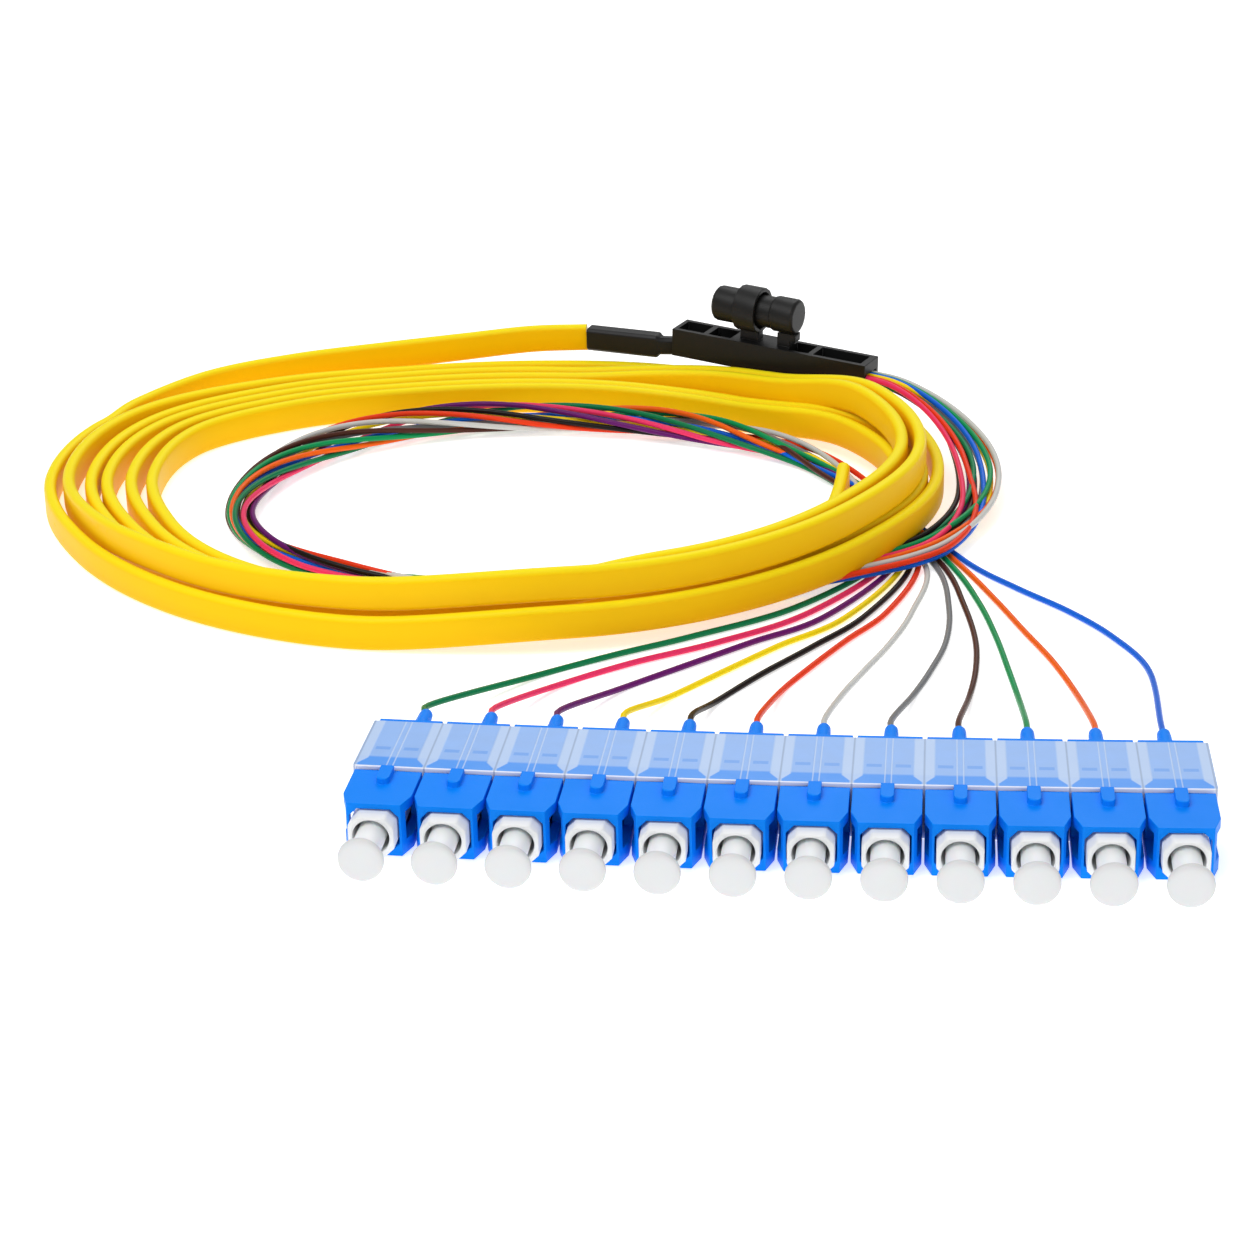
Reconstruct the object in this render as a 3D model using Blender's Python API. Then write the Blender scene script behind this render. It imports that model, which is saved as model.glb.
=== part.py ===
"""Twelve-fibre fan-out pigtail: a flat cable coil, a breakout block and a strip of twelve connectors.

The row frame has +X along the connector strip, -Y towards the dust caps and +Z up. The origin
lies on the floor, on the underside of the holder's middle wall. Sizes here are in millimetres and
become metres when a mesh is made.
"""
from math import atan2, cos, pi, radians, sin

import bmesh
import bpy
from mathutils import Vector

MM = 0.001
GAP = 0.3                    # clearance between pieces that touch

# Connector strip
CONNECTORS = 12
STRIP_RADIUS = 1200.0        # the soft holder bows, so the strip is a shallow arc
AXIS_HEIGHT = 3.68           # height of a connector's axis over the floor

# Grip, the outer sleeve of a connector
GRIP_WIDTH = 9.0
GRIP_HEIGHT = 7.36
GRIP_FRONT = 9.55            # front face, ahead of the holder's front edge
CHAMFER_WIDTH = 0.95         # long chamfers on the two upright front corners
CHAMFER_LENGTH = 2.8
WAIST_INSET = 0.5            # each side of the waist, where the holder's walls go
WAIST_TOP = 6.7
WAIST_LIFT = 0.2             # underside of the waist over the floor
FLANGE_LENGTH = 1.0          # rear lip behind the holder
FLANGE_INSET = 0.2
REAR_BORE = 3.6              # hole that the boot's collar sits in
REAR_WALL = 1.2
WINDOW_FRONT = 1.2           # window in each side wall, measured back from the front face
WINDOW_LENGTH = 6.2
WINDOW_LOW = 2.0
WINDOW_HIGH = 5.9
KEY_WIDTH = 1.75
KEY_LENGTH = 4.2
KEY_HEIGHT = 0.85

# Plug body: frame, ferrule and boot in one
FRAME_WIDTH = 6.0
FRAME_HEIGHT = 5.4
FRAME_CHAMFER = 1.2
FRAME_CLEARANCE = 0.25
FRAME_PROUD = 2.2            # how far the frame stands out of the grip
FRAME_LENGTH = 20.0
PLUG_BORE = 4.85
PLUG_BORE_DEPTH = 8.0
FERRULE_DIAMETER = 2.5
FERRULE_RECESS = 0.8         # ferrule tip, behind the frame's front
BOOT_LENGTH = 9.6            # visible boot behind the grip
BOOT_BASE_DIAMETER = 2.5
BOOT_TIP_DIAMETER = 1.7

# Dust cap
CAP_HEAD_DIAMETER = 6.0
CAP_HEAD_THICKNESS = 0.9
CAP_DOME = 0.35
CAP_STEM_DIAMETER = 3.75
CAP_STEM_BORE = 3.0
CAP_NECK_LENGTH = 5.4        # stem between the frame's front and the head
CAP_STEM_LENGTH = 10.4

# Holder, a comb that straddles the waists
HOLDER_DEPTH = 13.7
HOLDER_TOP = 7.75
HOLDER_END_WALL = 0.55

# Fibres
FIBRE_DIAMETER = 0.9
BUNDLE_WIDTH = 5.7           # twelve fibres lying six wide and two deep
BUNDLE_THICKNESS = 1.9

# Flat cable
CABLE_WIDTH = 5.2            # stands upright, so this is its height
CABLE_THICKNESS = 2.0

# Coil
COIL_CENTRE = (-52.7, 107.2)
OUTLINE_RADII = (71.6, 70.9, 65.2, 58.8, 55.2, 57.2, 64.8, 72.8,
                 72.4, 66.5, 61.2, 57.2, 55.2, 57.4, 61.1, 66.0)
TURN_OFFSETS = (
    (1.0, 1.0, 1.0, 1.0, 1.0, 1.0, 1.0, 1.0),
    (1.0, 3.7, 4.1, 3.0, 2.9, 2.2, 3.7, 6.6),
    (3.9, 6.4, 7.5, 6.2, 5.0, 4.4, 6.6, 8.8),
    (6.8, 9.1, 10.1, 8.6, 7.1, 5.4, 3.3, 11.0),
    (9.8, 11.9, 14.0, 10.8, 9.2, 7.5, 7.0, 13.2),
    (12.0, 14.7, 17.4, 13.0, 11.3, 9.7, 13.5, 18.0),
)
SECOND_TURN_LIFT = ((470, 0.0), (540, 1.2), (585, 4.8), (620, 5.4), (742, 5.4), (765, 3.4), (805, 0.0))
THIRD_TURN_LIFT = ((985, 0.0), (1025, 5.4), (1102, 5.4), (1125, 3.4), (1165, 0.0))
BUNDLE_LIFT = ((0, 2.2), (25, 2.2), (50, 0.0), (255, 0.0), (290, 2.2), (360, 2.2))
CROSSING_HOLLOW = ((300, 0.0), (318, 1.2), (350, 1.2), (360, 0.0))   # extra room where the fibres cross below
TAIL_JOIN = 160.0            # angle round the coil where the tail reaches the outermost turn
FREE_END_JOIN = 306.0        # angle where the innermost turn leaves the ring
RING_STEPS = 72

# Cable from the coil to the boot, and the free end inside the coil
TAIL_ROUTE = (
    (-117.4, 140.0, 2.9), (-108.0, 151.9, 3.4), (-94.2, 158.6, 4.3), (-79.2, 161.8, 5.5), (-65.0, 163.8, 6.8),
    (-53.6, 165.1, 7.9), (-43.75, 165.1, 8.4),
)
FREE_END_ROUTE = (
    (-17.0, 71.3, 5.3), (-10.4, 76.4, 5.5), (-5.1, 81.2, 5.5), (-1.2, 85.6, 5.5), (1.0, 89.8, 5.4),
    (2.2, 94.6, 5.3), (2.8, 100.0, 5.2), (3.1, 105.4, 5.1), (3.2, 110.8, 5.1),
)

# Breakout block, its boot and the pin in its ring
BLOCK_LENGTH = 36.4
BLOCK_WIDTH = 5.4
BLOCK_HEIGHT = 4.8
BLOCK_BOTTOM = 7.7
BLOCK_LEFT_END = (-27.4, 161.1)      # middle of the end that the boot enters
BLOCK_TURN = radians(-23.0)
BLOCK_SLOPE = radians(1.6)           # the block dips towards its fibre exit
BLOCK_WALL = 0.8
POCKET_DEPTH = 1.6
POCKETS = ((0.8, 5.6), (6.6, 10.8), (21.6, 25.4), (26.4, 35.2))
EXIT_DEPTH = 3.0
EXIT_WIDTH = 3.8
EXIT_HEIGHT = 2.6
SLEEVE_REAR = (-43.4, 165.0, 8.4)
SLEEVE_FRONT = (-30.4, 161.3, 8.5)
SLEEVE_WIDTH = 3.0
SLEEVE_HEIGHT = 4.0
LEG_PITCH = 7.0
FIRST_LEG = 12.2
LEG_LENGTH = 3.4
LEG_WIDTH = 2.0
PIN_DIAMETER = 6.0
PIN_WAIST = 5.4
PIN_LENGTH = 15.4
PIN_START = 7.3
PIN_HEIGHT = 5.3             # pin's axis over the block's top
RING_WALL = 0.7
RING_WIDTH = 4.0

# Loop of the twelve fibres, from the block round the outside, under the coil and round inside it
BUNDLE_ROUTE = (
    (6.5, 146.4, 8.6), (9.0, 144.9, 8.6), (12.8, 142.0, 8.0), (17.2, 137.4, 6.8), (21.2, 131.0, 5.2),
    (23.8, 123.2, 3.9), (24.6, 114.6, 3.2), (24.0, 106.4, 2.8), (21.8, 98.8, 2.5), (17.9, 91.6, 2.2),
    (12.6, 86.4, 2.15), (6.0, 82.0, 2.15), (-0.8, 77.5, 2.1), (-6.0, 75.2, 1.5), (-12.0, 73.4, 0.97),
    (-21.0, 72.0, 0.97), (-32.0, 72.0, 0.97),
    (-45.0, 73.2, 0.97), (-58.0, 75.2, 0.97), (-70.0, 78.2, 0.97), (-81.2, 83.2, 0.97), (-89.4, 91.6, 0.97),
    (-93.0, 102.4, 0.97), (-91.4, 115.4, 0.97), (-85.4, 127.4, 0.97), (-75.2, 136.8, 0.97),
    (-61.4, 142.4, 0.97), (-46.0, 143.8, 0.97), (-31.0, 142.4, 0.97), (-17.0, 137.4, 0.97),
    (-5.0, 129.4, 0.97), (3.4, 119.6, 0.97), (8.6, 110.0, 0.97), (12.4, 101.8, 0.97),
)
BUNDLE_COUNT = 66

# Each fibre from the bundle's end to its boot: points on the floor between those two ends
FAN_ROUTES = (
    ((9.7, 88.0), (-2.0, 70.8), (-16.3, 59.8), (-27.0, 52.8), (-37.7, 45.0)),
    ((10.9, 87.6), (-0.2, 68.6), (-12.4, 58.0), (-24.2, 50.2), (-34.0, 42.2)),
    ((12.1, 87.2), (2.4, 67.6), (-7.6, 58.2), (-15.6, 50.6), (-25.0, 41.6)),
    ((13.3, 86.9), (5.4, 67.4), (-3.6, 57.2), (-11.0, 48.0), (-18.0, 39.2)),
    ((14.5, 86.6), (8.4, 68.4), (1.4, 57.4), (-5.6, 47.4), (-11.4, 38.0)),
    ((15.7, 86.4), (11.6, 70.0), (6.0, 59.6), (1.2, 50.0), (-2.4, 42.0)),
    ((16.9, 86.4), (15.2, 70.0), (12.4, 59.0), (9.2, 50.0), (6.4, 42.0)),
    ((18.5, 86.6), (20.6, 72.0), (20.4, 60.0), (18.4, 50.0), (16.2, 42.0)),
    ((19.6, 86.9), (22.8, 73.0), (24.6, 61.0), (24.8, 51.0), (24.0, 42.0)),
    ((20.8, 87.3), (25.0, 74.0), (27.6, 62.0), (29.4, 51.0), (30.8, 42.0)),
    ((22.0, 87.8), (27.4, 75.2), (31.6, 64.4), (35.6, 54.4), (38.8, 44.0)),
    ((23.2, 88.6), (30.6, 79.6), (38.2, 71.6), (44.4, 63.0), (49.2, 52.0)),
)
FAN_COUNT = 17
ROW_PITCH = 0.96             # spacing of the fibres where they leave the bundle
STRAIGHT_LENGTH = 4.0        # straight run at each end of a fibre
FIBRE_HEIGHT = FIBRE_DIAMETER / 2 + 0.05

# Worked out from the sizes above
PITCH = GRIP_WIDTH + GAP     # spacing of the connectors along the strip
WAIST_WIDTH = GRIP_WIDTH - 2 * WAIST_INSET
FLANGE_WIDTH = GRIP_WIDTH - 2 * FLANGE_INSET
HOLDER_WALL = PITCH - WAIST_WIDTH - 2 * GAP
FRONT_OF_FRAME = GRIP_FRONT + FRAME_PROUD
GRIP_REAR = -(HOLDER_DEPTH + GAP + FLANGE_LENGTH)
BOOT_TIP = GRIP_REAR - BOOT_LENGTH


def material(name, colour, roughness):
    """Plain Principled material in the colour of the piece."""
    finish = bpy.data.materials.new(name)
    finish.use_nodes = True
    shader = finish.node_tree.nodes["Principled BSDF"]
    shader.inputs["Base Color"].default_value = (*colour, 1.0)
    shader.inputs["Roughness"].default_value = roughness
    shader.inputs["Metallic"].default_value = 0.0
    return finish


def add_object(name, mesh, finish, place=None):
    """Link a mesh as an object, seen from its parent empty when one is given."""
    piece = bpy.data.objects.new(name, mesh)
    bpy.context.scene.collection.objects.link(piece)
    if not mesh.materials:
        mesh.materials.append(finish)
    if place is not None:
        piece.parent = place
    return piece


def mesh_from(name, points, faces):
    """Mesh from millimetre points, with its faces turned outwards."""
    shape = bmesh.new()
    corners = [shape.verts.new(Vector(point) * MM) for point in points]
    for face in faces:
        shape.faces.new([corners[index] for index in face])
    bmesh.ops.recalc_face_normals(shape, faces=shape.faces)
    mesh = bpy.data.meshes.new(name)
    shape.to_mesh(mesh)
    shape.free()
    return mesh


def loft(name, rings, closed=False):
    """Skin over rings of equally many points, capped at both ends unless it closes on itself."""
    count = len(rings[0])
    points = [point for ring in rings for point in ring]
    faces = []
    spans = len(rings) if closed else len(rings) - 1
    for ring in range(spans):
        here = ring * count
        after = (ring + 1) % len(rings) * count
        for side in range(count):
            beside = (side + 1) % count
            faces.append((here + side, here + beside, after + beside, after + side))
    if not closed:
        faces.append(tuple(range(count)))
        faces.append(tuple((len(rings) - 1) * count + side for side in range(count)))
    return mesh_from(name, points, faces)


def box(name, low, high):
    """Box mesh between two corners."""
    (x0, y0, z0), (x1, y1, z1) = low, high
    base = [(x0, y0, z0), (x1, y0, z0), (x1, y1, z0), (x0, y1, z0)]
    top = [(x, y, z1) for x, y, _ in base]
    return loft(name, [base, top])


def cut(piece, cutters):
    """Take each cutter's shape out of a piece, and hide the cutter."""
    for cutter in cutters:
        cutter.hide_render = True
        cutter.display_type = "WIRE"
        tool = piece.modifiers.new(cutter.name, "BOOLEAN")
        tool.operation = "DIFFERENCE"
        tool.solver = "EXACT"
        tool.object = cutter


def smooth_points(route, count):
    """Evenly spaced points on the smooth curve through a route's own points."""
    knots = [Vector(point) for point in route]
    padded = [2 * knots[0] - knots[1], *knots, 2 * knots[-1] - knots[-2]]
    dense = []
    for index in range(1, len(padded) - 2):
        before, start, end, after = padded[index - 1:index + 3]
        for step in range(12):
            dense.append(between(before, start, end, after, step / 12))
    dense.append(knots[-1])
    lengths = [0.0]
    for first, second in zip(dense, dense[1:]):
        lengths.append(lengths[-1] + (second - first).length)
    points = []
    place = 0
    for number in range(count):
        target = lengths[-1] * number / (count - 1)
        while place < len(dense) - 2 and lengths[place + 1] < target:
            place += 1
        share = (target - lengths[place]) / (lengths[place + 1] - lengths[place])
        points.append(dense[place].lerp(dense[place + 1], min(max(share, 0.0), 1.0)))
    return points


def between(before, start, end, after, share):
    """Catmull-Rom value a share of the way from start to end."""
    square = share * share
    cube = square * share
    return 0.5 * (2 * start + (end - before) * share + (2 * before - 5 * start + 4 * end - after) * square
                  + (3 * start - before - 3 * end + after) * cube)


def cord(name, points, radius, finish, half_width=0.0, tilt=0.0):
    """Tube along points as a curve. A flat cord adds a half width across its tilt."""
    curve = bpy.data.curves.new(name, "CURVE")
    curve.dimensions = "3D"
    curve.twist_mode = "Z_UP"
    curve.bevel_depth = radius * MM
    curve.bevel_resolution = 2
    curve.extrude = half_width * MM
    curve.use_fill_caps = True
    spline = curve.splines.new("POLY")
    spline.points.add(len(points) - 1)
    for knot, point in zip(spline.points, points):
        knot.co = (*(Vector(point) * MM), 1.0)
        knot.tilt = tilt
    spline.use_smooth = False
    return add_object(name, curve, finish)


def slot_place(number):
    """Empty at a connector's place on the bowed strip, with -Y along the connector's axis."""
    angle = (number - (CONNECTORS + 1) / 2) * PITCH / STRIP_RADIUS
    place = bpy.data.objects.new(f"slot_{number:02d}", None)
    bpy.context.scene.collection.objects.link(place)
    place.location = Vector((sin(angle), 1.0 - cos(angle), 0.0)) * STRIP_RADIUS * MM
    place.rotation_euler = (0.0, 0.0, angle)
    return place


def on_strip(along, forward, height):
    """Point of the bowed strip: distance along it, ahead of the holder's front edge, and height."""
    angle = along / STRIP_RADIUS
    reach = STRIP_RADIUS + forward
    return (reach * sin(angle), STRIP_RADIUS - reach * cos(angle), height)


def circle_ring(radius, forward):
    """Twelve points of a circle round the connector's axis."""
    return [(radius * cos(step * pi / 6), -forward, radius * sin(step * pi / 6)) for step in range(12)]


def octagon_ring(width, height, chamfer, forward):
    """Twelve points of a chamfered rectangle, its corners and the middles of its four long sides."""
    across, up = width / 2, height / 2
    quarter = [(across, 0.0), (across, up - chamfer), (across - chamfer, up)]
    mirrored = [(0.0, up), (chamfer - across, up), (-across, up - chamfer)]
    half = quarter + mirrored
    return [(x, -forward, z) for x, z in half] + [(-x, -forward, -z) for x, z in half]


def plug_body_mesh():
    """Boot, collar, frame, bore and ferrule as one skin from the boot's tip to the ferrule's tip."""
    collar = REAR_BORE / 2 - GAP
    bore_floor = FRONT_OF_FRAME - PLUG_BORE_DEPTH
    frame_rear = FRONT_OF_FRAME - FRAME_LENGTH
    rings = [
        circle_ring(BOOT_TIP_DIAMETER / 2 - 0.15, BOOT_TIP),
        circle_ring(BOOT_TIP_DIAMETER / 2, BOOT_TIP + 0.5),
        circle_ring(BOOT_BASE_DIAMETER / 2, GRIP_REAR - GAP),
        circle_ring(collar, GRIP_REAR - GAP),
        circle_ring(collar, frame_rear),
        octagon_ring(FRAME_WIDTH, FRAME_HEIGHT, FRAME_CHAMFER, frame_rear),
        octagon_ring(FRAME_WIDTH, FRAME_HEIGHT, FRAME_CHAMFER, FRONT_OF_FRAME),
        circle_ring(PLUG_BORE / 2, FRONT_OF_FRAME),
        circle_ring(PLUG_BORE / 2, bore_floor),
        circle_ring(FERRULE_DIAMETER / 2, bore_floor),
        circle_ring(FERRULE_DIAMETER / 2, FRONT_OF_FRAME - FERRULE_RECESS),
    ]
    return loft("plug_body", rings)


def dust_cap_mesh():
    """Domed head, stem and the stem's bore as one skin."""
    head_back = FRONT_OF_FRAME + CAP_NECK_LENGTH
    head_front = head_back + CAP_HEAD_THICKNESS
    stem_end = head_back - CAP_STEM_LENGTH
    rings = [
        circle_ring(CAP_HEAD_DIAMETER * 0.3, head_front + CAP_DOME),
        circle_ring(CAP_HEAD_DIAMETER / 2, head_front),
        circle_ring(CAP_HEAD_DIAMETER / 2, head_back),
        circle_ring(CAP_STEM_DIAMETER / 2, head_back),
        circle_ring(CAP_STEM_DIAMETER / 2, stem_end),
        circle_ring(CAP_STEM_BORE / 2, stem_end),
        circle_ring(CAP_STEM_BORE / 2, FRONT_OF_FRAME),
    ]
    return loft("dust_cap", rings)


def grip_mesh():
    """Sleeve with chamfered front corners, a waist for the holder, a rear lip and a key on top."""
    half = GRIP_WIDTH / 2
    waist = WAIST_WIDTH / 2
    flange = FLANGE_WIDTH / 2
    low, high = -AXIS_HEIGHT, GRIP_HEIGHT - AXIS_HEIGHT
    waist_high = WAIST_TOP - AXIS_HEIGHT
    flange_front = GRIP_REAR + FLANGE_LENGTH
    shape = bmesh.new()

    def section(width, bottom, top, forward):
        corners = [(-width, bottom), (width, bottom), (width, top), (-width, top)]
        return [shape.verts.new(Vector((x, -forward, z)) * MM) for x, z in corners]

    sections = [
        section(flange, low, high, GRIP_REAR),
        section(flange, low, high, flange_front),
        section(waist, low + WAIST_LIFT, waist_high, flange_front),
        section(waist, low + WAIST_LIFT, waist_high, 0.0),
        section(half, low, high, 0.0),
        section(half, low, high, GRIP_FRONT - CHAMFER_LENGTH),
        section(half - CHAMFER_WIDTH, low, high, GRIP_FRONT),
    ]
    shape.faces.new(sections[0])
    shape.faces.new(sections[-1])
    for rear, front in zip(sections, sections[1:]):
        for side in range(4):
            beside = (side + 1) % 4
            shape.faces.new((rear[side], rear[beside], front[beside], front[side]))
    bmesh.ops.recalc_face_normals(shape, faces=shape.faces)
    mesh = bpy.data.meshes.new("grip")
    shape.to_mesh(mesh)
    shape.free()
    return mesh


def grip_cutters():
    """Cavity for the plug body, rear hole and side windows."""
    cavity_width = FRAME_WIDTH + 2 * FRAME_CLEARANCE
    cavity_height = FRAME_HEIGHT + 2 * FRAME_CLEARANCE
    cavity_chamfer = FRAME_CHAMFER - FRAME_CLEARANCE / 2
    cavity_rear = GRIP_REAR + REAR_WALL
    rings = [
        circle_ring(REAR_BORE / 2, GRIP_REAR - 1.0),
        circle_ring(REAR_BORE / 2, cavity_rear),
        octagon_ring(cavity_width, cavity_height, cavity_chamfer, cavity_rear),
        octagon_ring(cavity_width, cavity_height, cavity_chamfer, GRIP_FRONT + 1.0),
    ]
    cavity = add_object("cavity_cutter", loft("cavity_cutter", rings), WHITE)
    reach = GRIP_WIDTH
    window_front = GRIP_FRONT - WINDOW_FRONT
    windows = box("window_cutter", (-reach, -window_front, WINDOW_LOW - AXIS_HEIGHT),
                  (reach, WINDOW_LENGTH - window_front, WINDOW_HIGH - AXIS_HEIGHT))
    return [cavity, add_object("window_cutter", windows, WHITE)]


def applied_mesh(piece, name):
    """Mesh of a piece with its modifiers worked out, for objects that share it."""
    bpy.context.view_layer.update()
    evaluated = piece.evaluated_get(bpy.context.evaluated_depsgraph_get())
    mesh = bpy.data.meshes.new_from_object(evaluated)
    mesh.name = name
    return mesh


def key_mesh():
    """Key with a rounded nose, to be joined to the grip's top."""
    half = KEY_WIDTH / 2
    floor = GRIP_HEIGHT - AXIS_HEIGHT - 0.2
    top = floor + 0.2 + KEY_HEIGHT
    outline = [(-half, 0.1), (half, 0.1)]
    centre = KEY_LENGTH - half
    outline += [(half * cos(turn * pi / 4), centre + half * sin(turn * pi / 4)) for turn in range(5)]
    base = [(x, -forward, floor) for x, forward in outline]
    lid = [(x, -forward, top) for x, forward in outline]
    return loft("key", [base, lid])


def finished_grip_mesh():
    """Grip with its key joined on and its hollows cut out."""
    body = add_object("grip_body", grip_mesh(), BLUE)
    key = add_object("key_shape", key_mesh(), BLUE)
    join = body.modifiers.new("key", "BOOLEAN")
    join.operation = "UNION"
    join.solver = "EXACT"
    join.object = key
    cutters = grip_cutters()
    cut(body, cutters)
    mesh = applied_mesh(body, "grip")
    for helper in (body, key, *cutters):
        bpy.data.objects.remove(helper)
    return mesh


def make_connectors():
    """Grip, plug body and dust cap at each of the strip's places."""
    grip = finished_grip_mesh()
    plug = plug_body_mesh()
    cap = dust_cap_mesh()
    for number in range(1, CONNECTORS + 1):
        place = slot_place(number)
        for name, mesh, finish in (("grip", grip, BLUE), ("plug_body", plug, WHITE), ("dust_cap", cap, CLEAR_WHITE)):
            piece = add_object(f"{name}_{number:02d}", mesh, finish, place)
            piece.location.z = AXIS_HEIGHT * MM


def make_holder():
    """Comb with a thin roof, a wall between each two waists and an end wall at each side."""
    first = -(CONNECTORS - 1) * PITCH / 2
    half_waist = WAIST_WIDTH / 2 + GAP
    edges = [first - half_waist - HOLDER_END_WALL, first - half_waist]
    for number in range(1, CONNECTORS):
        middle = first + (number - 0.5) * PITCH
        edges += [middle - HOLDER_WALL / 2, middle + HOLDER_WALL / 2]
    edges += [-edges[1], -edges[0]]
    levels = (0.0, WAIST_TOP + GAP, HOLDER_TOP)
    ends = (-GAP, -HOLDER_DEPTH)
    count = len(edges)
    points = [on_strip(along, forward, height) for forward in ends for height in levels for along in edges]

    def corner(end, level, edge):
        return (end * 3 + level) * count + edge

    def strip(level_a, level_b, end_a, end_b, edge):
        return (corner(end_a, level_a, edge), corner(end_a, level_a, edge + 1),
                corner(end_b, level_b, edge + 1), corner(end_b, level_b, edge))

    faces = []
    for edge in range(count - 1):
        underside = 0 if edge % 2 == 0 else 1
        faces += [strip(2, 2, 0, 1, edge), strip(underside, underside, 0, 1, edge)]
        for level in range(underside, 2):
            faces += [strip(level, level + 1, 0, 0, edge), strip(level, level + 1, 1, 1, edge)]
    for edge in range(count):
        sides = (0, 1) if edge in (0, count - 1) else (0,)
        faces += [(corner(0, level, edge), corner(1, level, edge), corner(1, level + 1, edge),
                   corner(0, level + 1, edge)) for level in sides]
    add_object("holder", mesh_from("holder", points, faces), FROSTED)


def outline_radius(angle):
    """Radius of the coil's outer face at an angle in degrees, smooth between the listed radii."""
    count = len(OUTLINE_RADII)
    position = angle % 360.0 * count / 360.0
    index = int(position)
    values = [OUTLINE_RADII[(index + step) % count] for step in (-1, 0, 1, 2)]
    return between(*values, position - index)


def turn_offset(angle):
    """Distance of the cable's middle inside the outline, with the angle counted on from 90 degrees."""
    values = [value for turn in TURN_OFFSETS for value in turn]
    position = min(max((angle - 90.0) / 45.0, 0.0), len(values) - 1.001)
    index = int(position)
    nearby = [values[min(max(index + step, 0), len(values) - 1)] for step in (-1, 0, 1, 2)]
    return between(*nearby, position - index)


def stepped(table, angle):
    """Value at an angle, easing from each listed value to the next."""
    if angle <= table[0][0]:
        return table[0][1]
    for (start, low), (end, high) in zip(table, table[1:]):
        if angle <= end:
            share = (angle - start) / (end - start)
            return low + (high - low) * share * share * (3 - 2 * share)
    return table[-1][1]


def inside_outline(angle, offset, height):
    """Point a distance inside the coil's outline, measured square to it."""
    step = 1.0
    turn = radians(angle)
    radius = outline_radius(angle)
    slope = (outline_radius(angle + step) - outline_radius(angle - step)) / radians(2 * step)
    lean = atan2(slope, radius)
    direction = turn - lean
    x = COIL_CENTRE[0] + radius * cos(turn) - offset * cos(direction)
    y = COIL_CENTRE[1] + radius * sin(turn) - offset * sin(direction)
    return (x, y, height)


def coil_section(angle):
    """Section of the whole coil at an angle from 90 to 450 degrees, outer face first.

    The floor layer runs from the outermost to the innermost turn. The raised turns stand on it as
    a second, narrower layer, and a groove marks the gap inside the outermost turn.
    """
    floor = stepped(BUNDLE_LIFT, angle % 360.0)
    half = CABLE_THICKNESS / 2
    top = floor + CABLE_WIDTH
    floor += stepped(CROSSING_HOLLOW, angle % 360.0)
    outer = 0.0 if angle > TAIL_JOIN else turn_offset(angle + 360) - half + GAP
    inner_turn = 5 if angle % 360.0 <= FREE_END_JOIN and angle <= FREE_END_JOIN else 4
    inner = turn_offset(angle + 360 * inner_turn) + half
    second, third = (angle + 360, angle + 720)
    lift = max(stepped(SECOND_TURN_LIFT, second), 0.0)
    if angle < 180.0:
        second, third = (angle + 360, angle + 360)
    upper_outer = turn_offset(second) - half
    both = stepped(THIRD_TURN_LIFT, angle + 720) > 0.5 * lift
    upper_inner = (turn_offset(third) if both else turn_offset(second)) + half
    ridge = top + max(lift, 0.15)
    groove = top - 0.6
    upper_outer = max(upper_outer, outer + 0.4)
    upper_inner = min(max(upper_inner, upper_outer + 1.5), inner - 1.6)
    profile = [
        (outer, floor), (outer, top - 0.4), (outer + 0.3, top), (upper_outer, top + 0.05), (upper_outer, ridge),
        (upper_inner, ridge), (upper_inner, groove), (upper_inner + 0.6, top), (inner - 0.4, top),
        (inner, top - 0.4), (inner, floor),
    ]
    return [inside_outline(angle, offset, height) for offset, height in profile]


def make_coil():
    """Ring of the coil's outer shape, with a step where the tail joins and where the free end leaves."""
    span = 360.0
    angles = [90.0 + span * step / RING_STEPS for step in range(RING_STEPS)]
    for join in (TAIL_JOIN, FREE_END_JOIN):
        angles += [join - 0.05, join + 0.05]
    angles.sort()
    rings = [coil_section(angle) for angle in angles]
    add_object("cable_coil", loft("cable_coil", rings, closed=True), YELLOW)


def make_cable_ends():
    """Cable between the boot and the coil, and the free end that lies inside the coil."""
    radius = CABLE_THICKNESS / 2
    half_width = CABLE_WIDTH / 2 - radius
    start = inside_outline(TAIL_JOIN - 0.4, turn_offset(TAIL_JOIN), CABLE_WIDTH / 2)
    cord("cable_tail", smooth_points((start, *TAIL_ROUTE), 22), radius, YELLOW, half_width)
    start = inside_outline(FREE_END_JOIN + 1.0, turn_offset(FREE_END_JOIN + 5 * 360.0) + 0.3, FREE_END_ROUTE[0][2])
    cord("cable_free_end", smooth_points((start, *FREE_END_ROUTE), 16), radius, YELLOW, half_width)


def block_point(along, across, height):
    """Point in the block's own frame: along it from the boot end, across it, and up from its base."""
    reach = along * cos(BLOCK_SLOPE) + height * sin(BLOCK_SLOPE)
    rise = height * cos(BLOCK_SLOPE) - along * sin(BLOCK_SLOPE)
    x = BLOCK_LEFT_END[0] + reach * cos(BLOCK_TURN) - across * sin(BLOCK_TURN)
    y = BLOCK_LEFT_END[1] + reach * sin(BLOCK_TURN) + across * cos(BLOCK_TURN)
    return (x, y, BLOCK_BOTTOM + rise)


def block_box(name, low, high):
    """Box in the block's frame."""
    (a0, c0, h0), (a1, c1, h1) = low, high
    rim = [(a0, c0), (a1, c0), (a1, c1), (a0, c1)]
    rings = [[block_point(a, c, height) for a, c in rim] for height in (h0, h1)]
    return loft(name, rings)


def pin_centre(along):
    """Point on the pin's axis."""
    return Vector(block_point(along, 0.0, BLOCK_HEIGHT + PIN_HEIGHT))


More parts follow.
